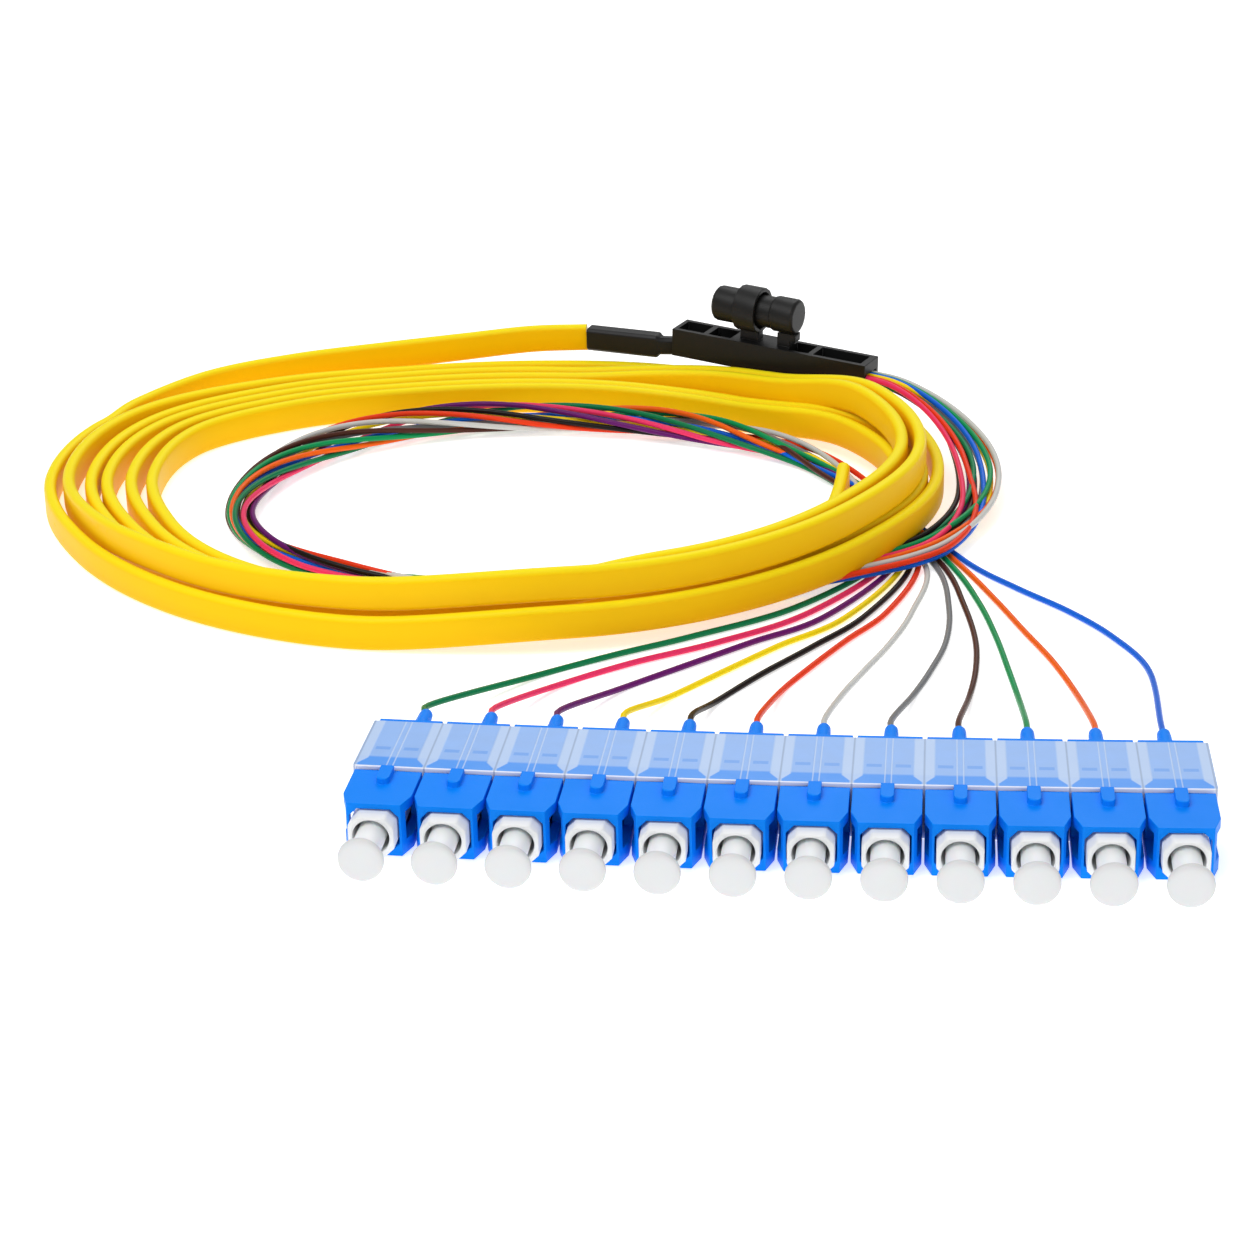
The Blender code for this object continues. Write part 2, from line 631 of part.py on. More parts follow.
def axis_ring(along, radius, sides=16):
    """Circle round the pin's axis."""
    middle = pin_centre(along)
    across = Vector((-sin(BLOCK_TURN), cos(BLOCK_TURN), 0.0))
    up = (middle - Vector(block_point(along, 0.0, 0.0))).normalized()
    turns = [2 * pi * step / sides for step in range(sides)]
    return [tuple(middle + radius * (cos(turn) * across + sin(turn) * up)) for turn in turns]


def make_block():
    """Block with pockets in its top and a fibre exit, carrying a ring and a cradle leg for the pin."""
    half = BLOCK_WIDTH / 2
    body = add_object("breakout_block", block_box("breakout_block", (0.0, -half, 0.0),
                                                  (BLOCK_LENGTH, half, BLOCK_HEIGHT)), BLACK)
    inside = half - BLOCK_WALL
    floor = BLOCK_HEIGHT - POCKET_DEPTH
    cutters = []
    for number, (start, end) in enumerate(POCKETS, 1):
        mesh = block_box(f"pocket_{number}", (start, -inside, floor), (end, inside, BLOCK_HEIGHT + 1.0))
        cutters.append(add_object(f"pocket_{number}", mesh, BLACK))
    exit_low = (BLOCK_HEIGHT - POCKET_DEPTH - EXIT_HEIGHT) / 2
    mesh = block_box("fibre_exit", (BLOCK_LENGTH - EXIT_DEPTH, -EXIT_WIDTH / 2, exit_low),
                     (BLOCK_LENGTH + 1.0, EXIT_WIDTH / 2, exit_low + EXIT_HEIGHT))
    cutters.append(add_object("fibre_exit", mesh, BLACK))
    top = BLOCK_HEIGHT - 0.4
    ring_outer = PIN_DIAMETER / 2 + GAP / 2 + RING_WALL
    for number in range(2):
        start = FIRST_LEG + number * LEG_PITCH
        height = BLOCK_HEIGHT + PIN_HEIGHT
        leg = add_object(f"leg_{number}", block_box(f"leg_{number}", (start, -LEG_WIDTH / 2, top),
                                                    (start + LEG_LENGTH, LEG_WIDTH / 2, height)), BLACK)
        join_to(body, leg)
    ring_start = FIRST_LEG + (LEG_LENGTH - RING_WIDTH) / 2
    ring = add_object("ring_shape", loft("ring_shape", [
        axis_ring(ring_start, ring_outer), axis_ring(ring_start + RING_WIDTH, ring_outer)]), BLACK)
    join_to(body, ring)
    start, end = PIN_START - 2.0, PIN_START + PIN_LENGTH + 2.0
    clear = PIN_DIAMETER / 2 + GAP / 2
    seat = add_object("pin_seat", loft("pin_seat", [axis_ring(start, clear), axis_ring(end, clear)]), BLACK)
    cutters.append(seat)
    cut(body, cutters)
    radius = PIN_DIAMETER / 2
    waist = PIN_WAIST / 2
    head = (PIN_LENGTH - RING_WIDTH) / 2 - 1.4
    rings = [
        axis_ring(PIN_START, radius - 0.5), axis_ring(PIN_START + 0.5, radius),
        axis_ring(PIN_START + head, radius), axis_ring(PIN_START + head, waist),
        axis_ring(PIN_START + PIN_LENGTH - head, waist), axis_ring(PIN_START + PIN_LENGTH - head, radius),
        axis_ring(PIN_START + PIN_LENGTH - 0.4, radius), axis_ring(PIN_START + PIN_LENGTH, radius - 0.4),
    ]
    add_object("stowed_pin", loft("stowed_pin", rings), BLACK)


def join_to(body, extra):
    """Fuse a shape into a piece, and hide the shape."""
    extra.hide_render = True
    extra.display_type = "WIRE"
    join = body.modifiers.new(extra.name, "BOOLEAN")
    join.operation = "UNION"
    join.solver = "EXACT"
    join.object = extra


def make_sleeve():
    """Heat-shrunk boot over the cable's end, with a neck that goes up to the block."""
    soft = 0.5
    shoulder = 0.6
    half, tall = SLEEVE_WIDTH / 2, SLEEVE_HEIGHT / 2
    neck_half, neck_tall = half - 0.35, tall - 0.5
    rear, front = Vector(SLEEVE_REAR), Vector(SLEEVE_FRONT)
    ahead = (front - rear).normalized()
    across = Vector((0.0, 0.0, 1.0)).cross(ahead).normalized()
    neck_end = Vector(block_point(-GAP - 0.1, 0.0, SLEEVE_FRONT[2] - BLOCK_BOTTOM))

    def section(middle, width, height):
        rim = [(-width, -height + soft), (-width, height - soft), (-width + soft, height), (width - soft, height),
               (width, height - soft), (width, -height + soft), (width - soft, -height), (-width + soft, -height)]
        return [tuple(middle + across * side + Vector((0.0, 0.0, up))) for side, up in rim]

    rings = [section(rear, half, tall), section(front - ahead * shoulder, half, tall),
             section(front, neck_half, neck_tall), section(neck_end, neck_half, neck_tall)]
    add_object("cable_boot", loft("cable_boot", rings), DARK_GREY)


def make_fibres():
    """Bundle of all twelve fibres round its loop, and each fibre from its end to a connector."""
    half = BUNDLE_THICKNESS / 2
    cord("fibre_loop", smooth_points(BUNDLE_ROUTE, BUNDLE_COUNT), half, GREEN, BUNDLE_WIDTH / 2 - half, pi / 2)
    end, before = Vector(BUNDLE_ROUTE[-1]), Vector(BUNDLE_ROUTE[-2])
    ahead = (end - before).normalized()
    across = Vector((0.0, 0.0, 1.0)).cross(ahead)
    for number, route in enumerate(FAN_ROUTES, 1):
        place = number - (CONNECTORS + 1) / 2
        start = end + ahead * GAP + across * place * ROW_PITCH
        start.z = FIBRE_HEIGHT
        colour = FIBRE_COLOURS[number - 1]
        tip = on_strip(place * PITCH, BOOT_TIP - GAP, AXIS_HEIGHT)
        lead = on_strip(place * PITCH, BOOT_TIP - STRAIGHT_LENGTH, AXIS_HEIGHT - 0.5)
        floor_points = [(x, y, FIBRE_HEIGHT) for x, y in route]
        points = smooth_points((start, start + ahead * STRAIGHT_LENGTH, *floor_points, lead, tip), FAN_COUNT)
        finish = material(f"fibre_colour_{number:02d}", colour, 0.45)
        cord(f"fibre_{number:02d}", points, FIBRE_DIAMETER / 2, finish)


for old in list(bpy.data.objects):
    bpy.data.objects.remove(old)

BLUE = material("azure_plastic", (0.02, 0.20, 0.80), 0.35)
WHITE = material("white_plastic", (0.85, 0.85, 0.83), 0.35)
CLEAR_WHITE = material("cap_plastic", (0.80, 0.82, 0.83), 0.40)
FROSTED = material("frosted_plastic", (0.55, 0.70, 0.90), 0.45)
YELLOW = material("yellow_jacket", (0.95, 0.55, 0.01), 0.40)
BLACK = material("black_plastic", (0.02, 0.02, 0.02), 0.50)
DARK_GREY = material("shrink_sleeve", (0.03, 0.03, 0.03), 0.40)
GREEN = material("fibre_bundle", (0.05, 0.35, 0.15), 0.45)
FIBRE_COLOURS = (
    (0.02, 0.35, 0.12), (0.85, 0.10, 0.22), (0.20, 0.03, 0.25), (0.90, 0.70, 0.02), (0.05, 0.03, 0.02),
    (0.90, 0.15, 0.02), (0.80, 0.80, 0.80), (0.40, 0.42, 0.44), (0.14, 0.05, 0.03), (0.02, 0.35, 0.10),
    (0.90, 0.22, 0.02), (0.02, 0.22, 0.75),
)

make_connectors()
make_holder()
make_coil()
make_cable_ends()
make_block()
make_sleeve()
make_fibres()
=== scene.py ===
"""Looks of a twelve-fibre fan-out pigtail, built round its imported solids.

Lengths in this file are in millimetres, in the row frame: +X along the connector strip, -Y towards
the dust caps, +Z up. They become metres when a mesh is made.
"""

import bmesh
import bpy
import numpy as np
from bpy.props import FloatProperty, FloatVectorProperty, PointerProperty
from mathutils import Matrix, Vector


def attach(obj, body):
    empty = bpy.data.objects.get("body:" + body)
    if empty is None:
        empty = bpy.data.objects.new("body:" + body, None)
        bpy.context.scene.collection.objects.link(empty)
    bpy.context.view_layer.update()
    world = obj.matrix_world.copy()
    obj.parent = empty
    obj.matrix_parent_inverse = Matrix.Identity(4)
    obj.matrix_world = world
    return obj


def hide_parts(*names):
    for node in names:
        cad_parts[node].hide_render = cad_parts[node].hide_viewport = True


bl_info = {
    "name": "Fibre pigtail",
    "version": (1, 0, 0),
    "blender": (4, 5, 0),
    "location": "View3D > Sidebar > Pigtail",
    "description": "Builds a flat-cable pigtail with its fanned fibres and capped connectors",
    "category": "Add Mesh",
}

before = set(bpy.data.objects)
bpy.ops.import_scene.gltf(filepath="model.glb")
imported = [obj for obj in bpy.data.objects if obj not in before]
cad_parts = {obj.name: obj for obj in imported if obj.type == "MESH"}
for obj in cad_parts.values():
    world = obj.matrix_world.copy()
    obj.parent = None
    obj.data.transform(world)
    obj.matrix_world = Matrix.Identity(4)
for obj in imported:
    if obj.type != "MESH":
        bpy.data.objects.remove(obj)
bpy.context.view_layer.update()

MM = 0.001
UP = np.array([0.0, 0.0, 1.0])

# Connector strip: places along a connector are counted forward from the holder's front edge
CONNECTORS = 12
PITCH = 9.3
STRIP_RADIUS = 1200.0
AXIS_HEIGHT = 3.68
GRIP_REAR = -15.0
BOOT_TIP = -24.6
FRONT_OF_FRAME = 11.75
FRAME_LENGTH = 20.0
FRAME_SECTION = (6.0, 5.4, 1.2)     # width, height and chamfer
BORE_RADIUS = 2.42
BORE_DEPTH = 8.0
FERRULE_RADIUS = 1.25

# Dust cap
HEAD_BACK = FRONT_OF_FRAME + 5.4
HEAD_FRONT = HEAD_BACK + 0.9
HEAD_RADIUS = 3.0
STEM_END = HEAD_BACK - 10.4
STEM_RADIUS = 1.875
STEM_BORE = 1.5

# Flat cable and its coil
CABLE_WIDTH = 5.2
CABLE_THICKNESS = 2.0
COIL_CENTRE = np.array([-52.7, 107.2])
OUTLINE_RADII = np.array([71.6, 70.9, 65.2, 58.8, 55.2, 57.2, 64.8, 72.8,
                          72.4, 66.5, 61.2, 57.2, 55.2, 57.4, 61.1, 66.0])
TURN_OFFSETS = np.array([
    (1.0, 1.0, 1.0, 1.0, 1.0, 1.0, 1.0, 1.0),
    (1.0, 3.7, 4.1, 3.0, 2.9, 2.2, 3.7, 6.6),
    (3.9, 6.4, 7.5, 6.2, 5.0, 4.4, 6.6, 8.8),
    (6.8, 9.1, 10.1, 8.6, 7.1, 5.4, 3.3, 11.0),
    (9.8, 11.9, 14.0, 10.8, 9.2, 7.5, 7.0, 13.2),
    (12.0, 14.7, 17.4, 13.0, 11.3, 9.7, 13.5, 18.0),
])
# Lifts as (degrees, millimetres): two turns rise over the others, and all rise over the fibres.
SECOND_TURN_LIFT = ((470, 0.0), (540, 1.2), (585, 4.8), (620, 5.4), (742, 5.4), (765, 3.4), (805, 0.0))
THIRD_TURN_LIFT = ((985, 0.0), (1025, 5.4), (1102, 5.4), (1125, 3.4), (1165, 0.0))
BUNDLE_LIFT = ((0, 2.2), (25, 2.2), (50, 0.0), (255, 0.0), (290, 2.2), (360, 2.2))
TAIL_JOIN = 160.0
FREE_END_JOIN = 306.0 + 5 * 360.0
DEGREES_PER_STEP = 3.0
CABLE_STEP = 1.2
TAIL_ROUTE = (
    (-43.75, 165.1, 8.4), (-53.6, 165.1, 7.9), (-65.0, 163.8, 6.8), (-79.2, 161.8, 5.5),
    (-94.2, 158.6, 4.3), (-108.0, 151.9, 3.4), (-117.4, 140.0, 2.9),
)
FREE_END_ROUTE = (
    (-17.0, 71.3, 5.3), (-10.4, 76.4, 5.5), (-5.1, 81.2, 5.5), (-1.2, 85.6, 5.5), (1.0, 89.8, 5.4),
    (2.2, 94.6, 5.3), (2.8, 100.0, 5.2), (3.1, 105.4, 5.1), (3.2, 110.8, 5.1),
)
TAPER_LENGTH = 60.0          # the cable narrows over this length before its boot
TAPERED_WIDTH = 4.6

# Fibres
FIBRE_DIAMETER = 0.9
FIBRE_SPACING = 0.98         # in fibre widths
LAYER_SPACING = 0.96
FIBRE_HEIGHT = FIBRE_DIAMETER / 2 + 0.05
BUNDLE_STEP = 2.0
FIBRE_STEP = 1.4
BUNDLE_ROUTE = (
    (5.0, 147.1, 8.6), (6.5, 146.4, 8.6), (9.0, 144.9, 8.6), (12.8, 142.0, 8.0), (17.2, 137.4, 6.8),
    (21.2, 131.0, 5.2), (23.8, 123.2, 3.9), (24.6, 114.6, 3.2), (24.0, 106.4, 2.8), (21.8, 98.8, 2.5),
    (17.9, 91.6, 2.2), (12.6, 86.4, 2.15), (6.0, 82.0, 2.15), (-0.8, 77.5, 2.1), (-6.0, 75.2, 1.5),
    (-12.0, 73.4, 0.97), (-21.0, 72.0, 0.97), (-32.0, 72.0, 0.97), (-45.0, 73.2, 0.97),
    (-58.0, 75.2, 0.97), (-70.0, 78.2, 0.97), (-81.2, 83.2, 0.97), (-89.4, 91.6, 0.97),
    (-93.0, 102.4, 0.97), (-91.4, 115.4, 0.97), (-85.4, 127.4, 0.97), (-75.2, 136.8, 0.97),
    (-61.4, 142.4, 0.97), (-46.0, 143.8, 0.97), (-31.0, 142.4, 0.97), (-17.0, 137.4, 0.97),
    (-5.0, 129.4, 0.97), (3.4, 119.6, 0.97), (8.6, 110.0, 0.97), (12.4, 101.8, 0.97),
)
# Where along the bundle its fibres change places: share of its length, spread, and the fibres' order
# from the coil's side outwards, first the upper six and then the lower six.
BUNDLE_ORDERS = (
    (0.00, 0.62, (2, 6, 4, 12, 10, 7), (1, 3, 9, 8, 5, 11)),
    (0.10, 1.35, (2, 6, 1, 12, 10, 7), (5, 3, 9, 8, 4, 11)),
    (0.20, 1.30, (5, 10, 2, 11, 7, 6), (1, 3, 9, 8, 4, 12)),
    (0.34, 1.00, (10, 5, 2, 7, 11, 6), (12, 3, 1, 8, 4, 9)),
    (0.56, 1.15, (6, 8, 4, 12, 7, 2), (11, 3, 10, 9, 5, 1)),
    (0.80, 1.55, (1, 12, 9, 7, 10, 2), (3, 4, 11, 5, 6, 8)),
    (0.90, 1.30, (12, 3, 4, 10, 7, 6), (9, 1, 5, 11, 8, 2)),
    (1.00, 1.00, (7, 8, 9, 10, 11, 12), (1, 2, 3, 4, 5, 6)),
)
# Inside the coil the two layers gather into a loose twisted bundle, three fibres within nine others:
# its share and its width as (share of the bundle's length, value), its turns, and its shift.
GATHERED = ((0.00, 0.0), (0.38, 0.0), (0.54, 1.0), (0.85, 1.0), (0.97, 0.0))
GATHERED_TWISTS = 4.0
GATHERED_SPREAD = ((0.00, 1.3), (0.58, 1.3), (0.70, 2.5), (0.84, 2.3), (0.94, 1.3))
GATHERED_SHIFT = (0.8, -1.6, 0.0)
INNER_EVERY = 4              # every fourth fibre is an inner one
INNER_RING = 0.7             # radii of the rings and height of their axis, in fibre widths
OUTER_RING = 1.75
RING_HEIGHT = 1.55
SWAY_OUTWARD = 0.22          # slow sways in the helix and in the layers, in fibre widths
SWAY_ACROSS = 0.3
WANDER = 0.25
# Each fibre from the bundle's end towards its boot, on the floor
FAN_ROUTES = (
    ((9.7, 88.0), (-2.0, 70.8), (-16.3, 59.8), (-27.0, 52.8), (-37.7, 45.0)),
    ((10.9, 87.6), (-0.2, 68.6), (-12.4, 58.0), (-24.2, 50.2), (-34.0, 42.2)),
    ((12.1, 87.2), (2.4, 67.6), (-7.6, 58.2), (-15.6, 50.6), (-25.0, 41.6)),
    ((13.3, 86.9), (5.4, 67.4), (-3.6, 57.2), (-11.0, 48.0), (-18.0, 39.2)),
    ((14.5, 86.6), (8.4, 68.4), (1.4, 57.4), (-5.6, 47.4), (-11.4, 38.0)),
    ((15.7, 86.4), (11.6, 70.0), (6.0, 59.6), (1.2, 50.0), (-2.4, 42.0)),
    ((16.9, 86.4), (15.2, 70.0), (12.4, 59.0), (9.2, 50.0), (6.4, 42.0)),
    ((18.5, 86.6), (20.6, 72.0), (20.4, 60.0), (18.4, 50.0), (16.2, 42.0)),
    ((19.6, 86.9), (22.8, 73.0), (24.6, 61.0), (24.8, 51.0), (24.0, 42.0)),
    ((20.8, 87.3), (25.0, 74.0), (27.6, 62.0), (29.4, 51.0), (30.8, 42.0)),
    ((22.0, 87.8), (27.4, 75.2), (31.6, 64.4), (35.6, 54.4), (38.8, 44.0)),
    ((23.2, 88.6), (30.6, 79.6), (38.2, 71.6), (44.4, 63.0), (49.2, 52.0)),
)

# Camera, for a square frame
CAMERA_PLACE = (25.14, -388.79, 208.72)
CAMERA_RIGHT = (0.99360, 0.11334, 0.0)
CAMERA_UP = (-0.04723, 0.41411, 0.90901)
CAMERA_AHEAD = (-0.10303, 0.90315, -0.41682)
CAMERA_ROLL = np.radians(-1.355)
FRAME_PIXELS = 1254
FOCAL_PIXELS = 3400.0
SENSOR = 36.0

# Strengths of the floor's own light and of the light from all round
FLOOR_GLOW = 0.55
ROOM_LIGHT = 0.36

# Rounding of edges
HOLDER_EDGE = 0.12
BLOCK_EDGE = 0.2

# Paint on the holder: depths behind its front edge, places from a cell's middle and half sizes
RIM_DEPTH = 0.5
BAND_DEPTH = 3.1
SLOT_DEPTH = 5.6
SLOT_PLACE = 1.9
SLOT_HALF = (1.0, 0.42)      # along the strip and behind the edge
RIB_PLACE = 0.42
RIB_HALF = 0.10
STRIP_WIDTH = 1.35           # of the milky strip on each side of a parting line
STRIP_NARROWING = 1.1
PARTING_HALF = 0.12

FIBRE_COLOURS = (
    ("green", (0.001, 0.20, 0.07)), ("pink", (0.88, 0.035, 0.14)), ("violet", (0.13, 0.005, 0.14)),
    ("yellow", (1.0, 0.74, 0.002)), ("black", (0.009, 0.006, 0.005)), ("red", (0.85, 0.045, 0.006)),
    ("white", (0.62, 0.62, 0.59)), ("slate", (0.20, 0.205, 0.21)), ("brown", (0.075, 0.02, 0.012)),
    ("leaf", (0.002, 0.30, 0.09)), ("orange", (0.95, 0.13, 0.004)), ("blue", (0.003, 0.13, 0.72)),
)


class PigtailSettings(bpy.types.PropertyGroup):
    """Colours, and sizes in metres, that a user would change."""

    grip_colour: FloatVectorProperty(
        name="Grip", description="Colour of the grips and boots", subtype="COLOR", size=3,
        min=0.0, max=1.0, default=(0.0015, 0.25, 1.0))
    cap_colour: FloatVectorProperty(
        name="Dust cap", description="Colour of the dust caps", subtype="COLOR", size=3,
        min=0.0, max=1.0, default=(0.90, 0.92, 0.93))
    plug_colour: FloatVectorProperty(
        name="Plug frame", description="Colour of the plug frames", subtype="COLOR", size=3,
        min=0.0, max=1.0, default=(0.89, 0.90, 0.90))
    holder_colour: FloatVectorProperty(
        name="Holder", description="Colour of the frosted holder", subtype="COLOR", size=3,
        min=0.0, max=1.0, default=(0.25, 0.43, 0.80))
    cable_colour: FloatVectorProperty(
        name="Cable", description="Colour of the cable's jacket", subtype="COLOR", size=3,
        min=0.0, max=1.0, default=(1.0, 0.60, 0.002))
    block_colour: FloatVectorProperty(
        name="Block", description="Colour of the breakout block", subtype="COLOR", size=3,
        min=0.0, max=1.0, default=(0.006, 0.006, 0.006))
    edge_radius: FloatProperty(
        name="Edge radius", description="Rounding of the moulded edges", subtype="DISTANCE",
        unit="LENGTH", min=0.00002, max=0.0005, default=0.00016)
    cable_corner: FloatProperty(
        name="Cable corner", description="Rounding of the flat cable's corners", subtype="DISTANCE",
        unit="LENGTH", min=0.0001, max=0.001, default=0.0009)


class Wire:
    """Output of a node, with arithmetic for single numbers."""

    def __init__(self, finish, socket):
        self.finish = finish
        self.socket = socket

    def math(self, operation, *values):
        return self.finish.node("ShaderNodeMath", {"operation": operation}, dict(enumerate(values)))

    def __add__(self, other):
        return self.math("ADD", self, other)

    def __sub__(self, other):
        return self.math("SUBTRACT", self, other)

    def __rsub__(self, other):
        return self.math("SUBTRACT", other, self)

    def __mul__(self, other):
        return self.math("MULTIPLY", self, other)

    def __truediv__(self, other):
        return self.math("DIVIDE", self, other)

    def __abs__(self):
        return self.math("ABSOLUTE", self)

    def __gt__(self, other):
        return self.math("GREATER_THAN", self, other)

    __radd__ = __add__
    __rmul__ = __mul__


class Finish:
    """A Principled material whose inputs are fed by expressions on wires."""

    def __init__(self, name, colour, roughness, constants=None):
        self.material = bpy.data.materials.new(name)
        self.material.use_nodes = True
        self.tree = self.material.node_tree
        self.shader = self.tree.nodes["Principled BSDF"]
        self.colour = (*colour, 1.0)
        self.shader.inputs["Base Color"].default_value = self.colour
        self.shader.inputs["Roughness"].default_value = roughness
        for socket, value in (constants or {}).items():
            self.shader.inputs[socket].default_value = value

    def node(self, kind, settings=None, inputs=None, output=0):
        """Add a node, set its settings, then fill or link its inputs, and give back one output."""
        made = self.tree.nodes.new(kind)
        for name, value in (settings or {}).items():
            setattr(made, name, value)
        for key, value in (inputs or {}).items():
            if isinstance(value, Wire):
                self.tree.links.new(value.socket, made.inputs[key])
            else:
                made.inputs[key].default_value = value
        return Wire(self, made.outputs[output])

    def feed(self, socket, wire):
        self.tree.links.new(wire.socket, self.shader.inputs[socket])

    def place(self):
        return self.node("ShaderNodeTexCoord", output="Object")

    def noise(self, scale, detail=2.0, where=None):
        """Noise from 0 to 1, its scale in features per metre."""
        inputs = {"Vector": where or self.place(), "Scale": scale, "Detail": detail}
        return self.node("ShaderNodeTexNoise", {}, inputs)

    def attribute(self, name):
        return self.node("ShaderNodeAttribute", {"attribute_name": name}, output="Fac")

    def below(self, value, limit, blur):
        """Share from 1 well below a limit to 0 above it, over a blurred edge."""
        share = (limit - value) / blur + 0.5
        share.socket.node.use_clamp = True
        return share

    def mix(self, share, first, second):
        return self.node("ShaderNodeMix", {"data_type": "RGBA"}, {0: share, 6: first, 7: second}, output=2)

    def shade(self, share, factor):
        """Base colour that goes from its own value to a multiple of it by a share."""
        other = tuple(min(part * factor, 1.0) for part in self.colour[:3]) + (1.0,)
        return self.mix(share, self.colour, other)

    def bump(self, height, distance, strength=0.5):
        """Bump from a height between 0 and 1, its distance in millimetres."""
        inputs = {"Strength": strength, "Distance": distance * MM, "Height": height}
        self.feed("Normal", self.node("ShaderNodeBump", {}, inputs))


def moulded_plastic(name, colour, roughness, grain=2600.0, depth=0.012, constants=None):
    """Plastic with a fine spark-eroded grain, faint clouding and uneven gloss."""
    finish = Finish(name, colour, roughness, constants)
    cloud = finish.noise(210.0, 3.0)
    grains = finish.noise(grain, 2.0)
    finish.feed("Base Color", finish.shade(cloud * 0.5, 0.86))
    finish.feed("Roughness", (cloud - 0.5) * 0.14 + (grains - 0.5) * 0.08 + roughness)
    finish.bump(grains, depth)
    return finish.material


def jacket(name, colour):
    """Extruded jacket: faint lines along the cable, slow waves in colour and gloss, a few scuffs.

    With h the height over the middle of the section in millimetres, it has a lemon painted highlight
    where h passes the upper corners and a deeper amber painted shade towards the lower edge.
    """
    finish = Finish(name, colour, 0.36, {"Specular IOR Level": 0.08})
    along = finish.attribute("along")
    across = finish.attribute("across")
    stretched = finish.node("ShaderNodeCombineXYZ", {}, {0: along * 12.0, 1: across * 900.0, 2: 0.0})
    lines = finish.noise(1.0, 2.0, stretched)
    waves = finish.noise(60.0, 3.0)
    scuffs = finish.noise(900.0, 4.0)
    height = across / MM
    base = finish.shade(waves * 0.45 + lines * 0.2, 0.86)
    # Painted shade: deeper amber towards the lower edge of the section
    base = finish.mix(finish.below(height, -0.9, 2.6) * 0.4, base, (0.86, 0.42, 0.001, 1.0))
    # Painted highlight: lemon along the upper corners of the section
    base = finish.mix((1.0 - finish.below(height, 2.2, 0.7)) * 0.85, base, (1.0, 0.86, 0.012, 1.0))
    finish.feed("Base Color", base)
    finish.feed("Roughness", waves * 0.12 + (scuffs > 0.66) * 0.12 + lines * 0.06 + 0.30)
    finish.bump(lines * 0.7 + scuffs * 0.3, 0.02, 0.35)
    return finish.material


def cap_plastic(name, colour):
    """Slightly translucent plastic with painted shade: greyer on the head than on the stem, most of all at
    its rim.
    """
    finish = Finish(name, colour, 0.34, {"Subsurface Weight": 0.2, "Subsurface Scale": 0.001})
    rim = finish.attribute("rim")
    cloud = finish.noise(260.0, 3.0)
    grains = finish.noise(2000.0, 2.0)
    # Painted shade: the rim attribute darkens the head, most of all at its rim, with a little random
    # clouding on top
    finish.feed("Base Color", finish.shade(rim + cloud * 0.1, 0.72))
    finish.feed("Roughness", cloud * 0.14 + grains * 0.06 + 0.28)
    finish.bump(grains, 0.01)
    return finish.material


def coated_fibre(name, colour):
    """Thin glossy coating, slightly uneven along the fibre."""
    finish = Finish(name, colour, 0.30, {"Specular IOR Level": 0.15})
    waves = finish.noise(140.0, 2.0)
    fine = finish.noise(2400.0, 2.0)
    finish.feed("Base Color", finish.shade(waves * 0.6, 0.80))
    finish.feed("Roughness", waves * 0.14 + fine * 0.06 + 0.22)
    finish.bump(fine, 0.01, 0.3)
    return finish.material


def frosted(name, colour):
    """Frosted holder over blue grips, painted by place on the strip.

    The distance along the strip is x R / (R - y), with R its radius, and the depth behind its front
    edge is y less that distance squared over 2 R. They place a white front rim, the frosted edge's own
    whitish tone with painted light over its shaded front face, milky strips beside each parting line,
    which narrow towards the front, a clearer blue band behind the rim, two thin ribs down each cell
    and short slots.
    """
    finish = Finish(name, colour, 0.34, {"Specular IOR Level": 0.45})
    place = finish.place()
    x = finish.node("ShaderNodeSeparateXYZ", {}, {0: place}, 0)
    y = finish.node("ShaderNodeSeparateXYZ", {}, {0: place}, 1)
    bow = STRIP_RADIUS * MM
    along = x * bow / (bow - y)
    depth = (y - along * along / (2 * bow)) / MM
    turns = along / (PITCH * MM)
    middle = abs(turns.math("FRACT", turns) - 0.5) * PITCH
    edge = PITCH / 2 - middle
    streaks = finish.noise(260.0, 4.0)
    grains = finish.noise(1800.0, 2.0)
    narrowing = finish.below(depth, 1.9, 1.6) * STRIP_NARROWING
    milky = finish.below(edge + narrowing, STRIP_WIDTH, 0.25)
    band = finish.below(depth, BAND_DEPTH, 0.5)
    slot = (finish.below(abs(depth - SLOT_DEPTH), SLOT_HALF[1], 0.15)
            * finish.below(abs(middle - SLOT_PLACE), SLOT_HALF[0], 0.15))
    ribs = finish.below(abs(middle - RIB_PLACE), RIB_HALF, 0.08)
    # Mask of the white front rim: the frosted edge's own whiteness plus painted light over its shaded
    # front face
    rim = finish.below(depth, RIM_DEPTH, 0.12)
    parting = finish.below(edge, PARTING_HALF, 0.12)
    base = finish.shade(streaks * 0.9, 1.22)
    base = finish.mix(band * 0.92, base, (0.035, 0.29, 0.90, 1.0))
    base = finish.mix(slot * 0.6, base, (0.08, 0.30, 0.82, 1.0))
    base = finish.mix(milky * 0.85, base, (0.50, 0.64, 0.88, 1.0))
    base = finish.mix(ribs * 0.55, base, (0.62, 0.75, 0.95, 1.0))
    # Partly painted light: near white on the front rim, brighter than its shade would leave it
    base = finish.mix(rim * 0.95, base, (0.98, 0.98, 1.0, 1.0))
    base = finish.mix(parting * 0.6, base, (0.22, 0.30, 0.46, 1.0))
    finish.feed("Base Color", base)
    finish.feed("Roughness", streaks * 0.2 + grains * 0.08 + 0.24)
    finish.bump(ribs * 0.5 + milky * 0.4 + grains * 0.1, 0.12, 0.5)
    return finish.material


def resample(points, spacing):
    """Points spread evenly by distance along a polyline."""
    reach = reach_along(points)
    places = np.linspace(0.0, reach[-1], max(int(round(reach[-1] / spacing)), 3) + 1)
    return np.stack([np.interp(places, reach, column) for column in points.T], axis=1)


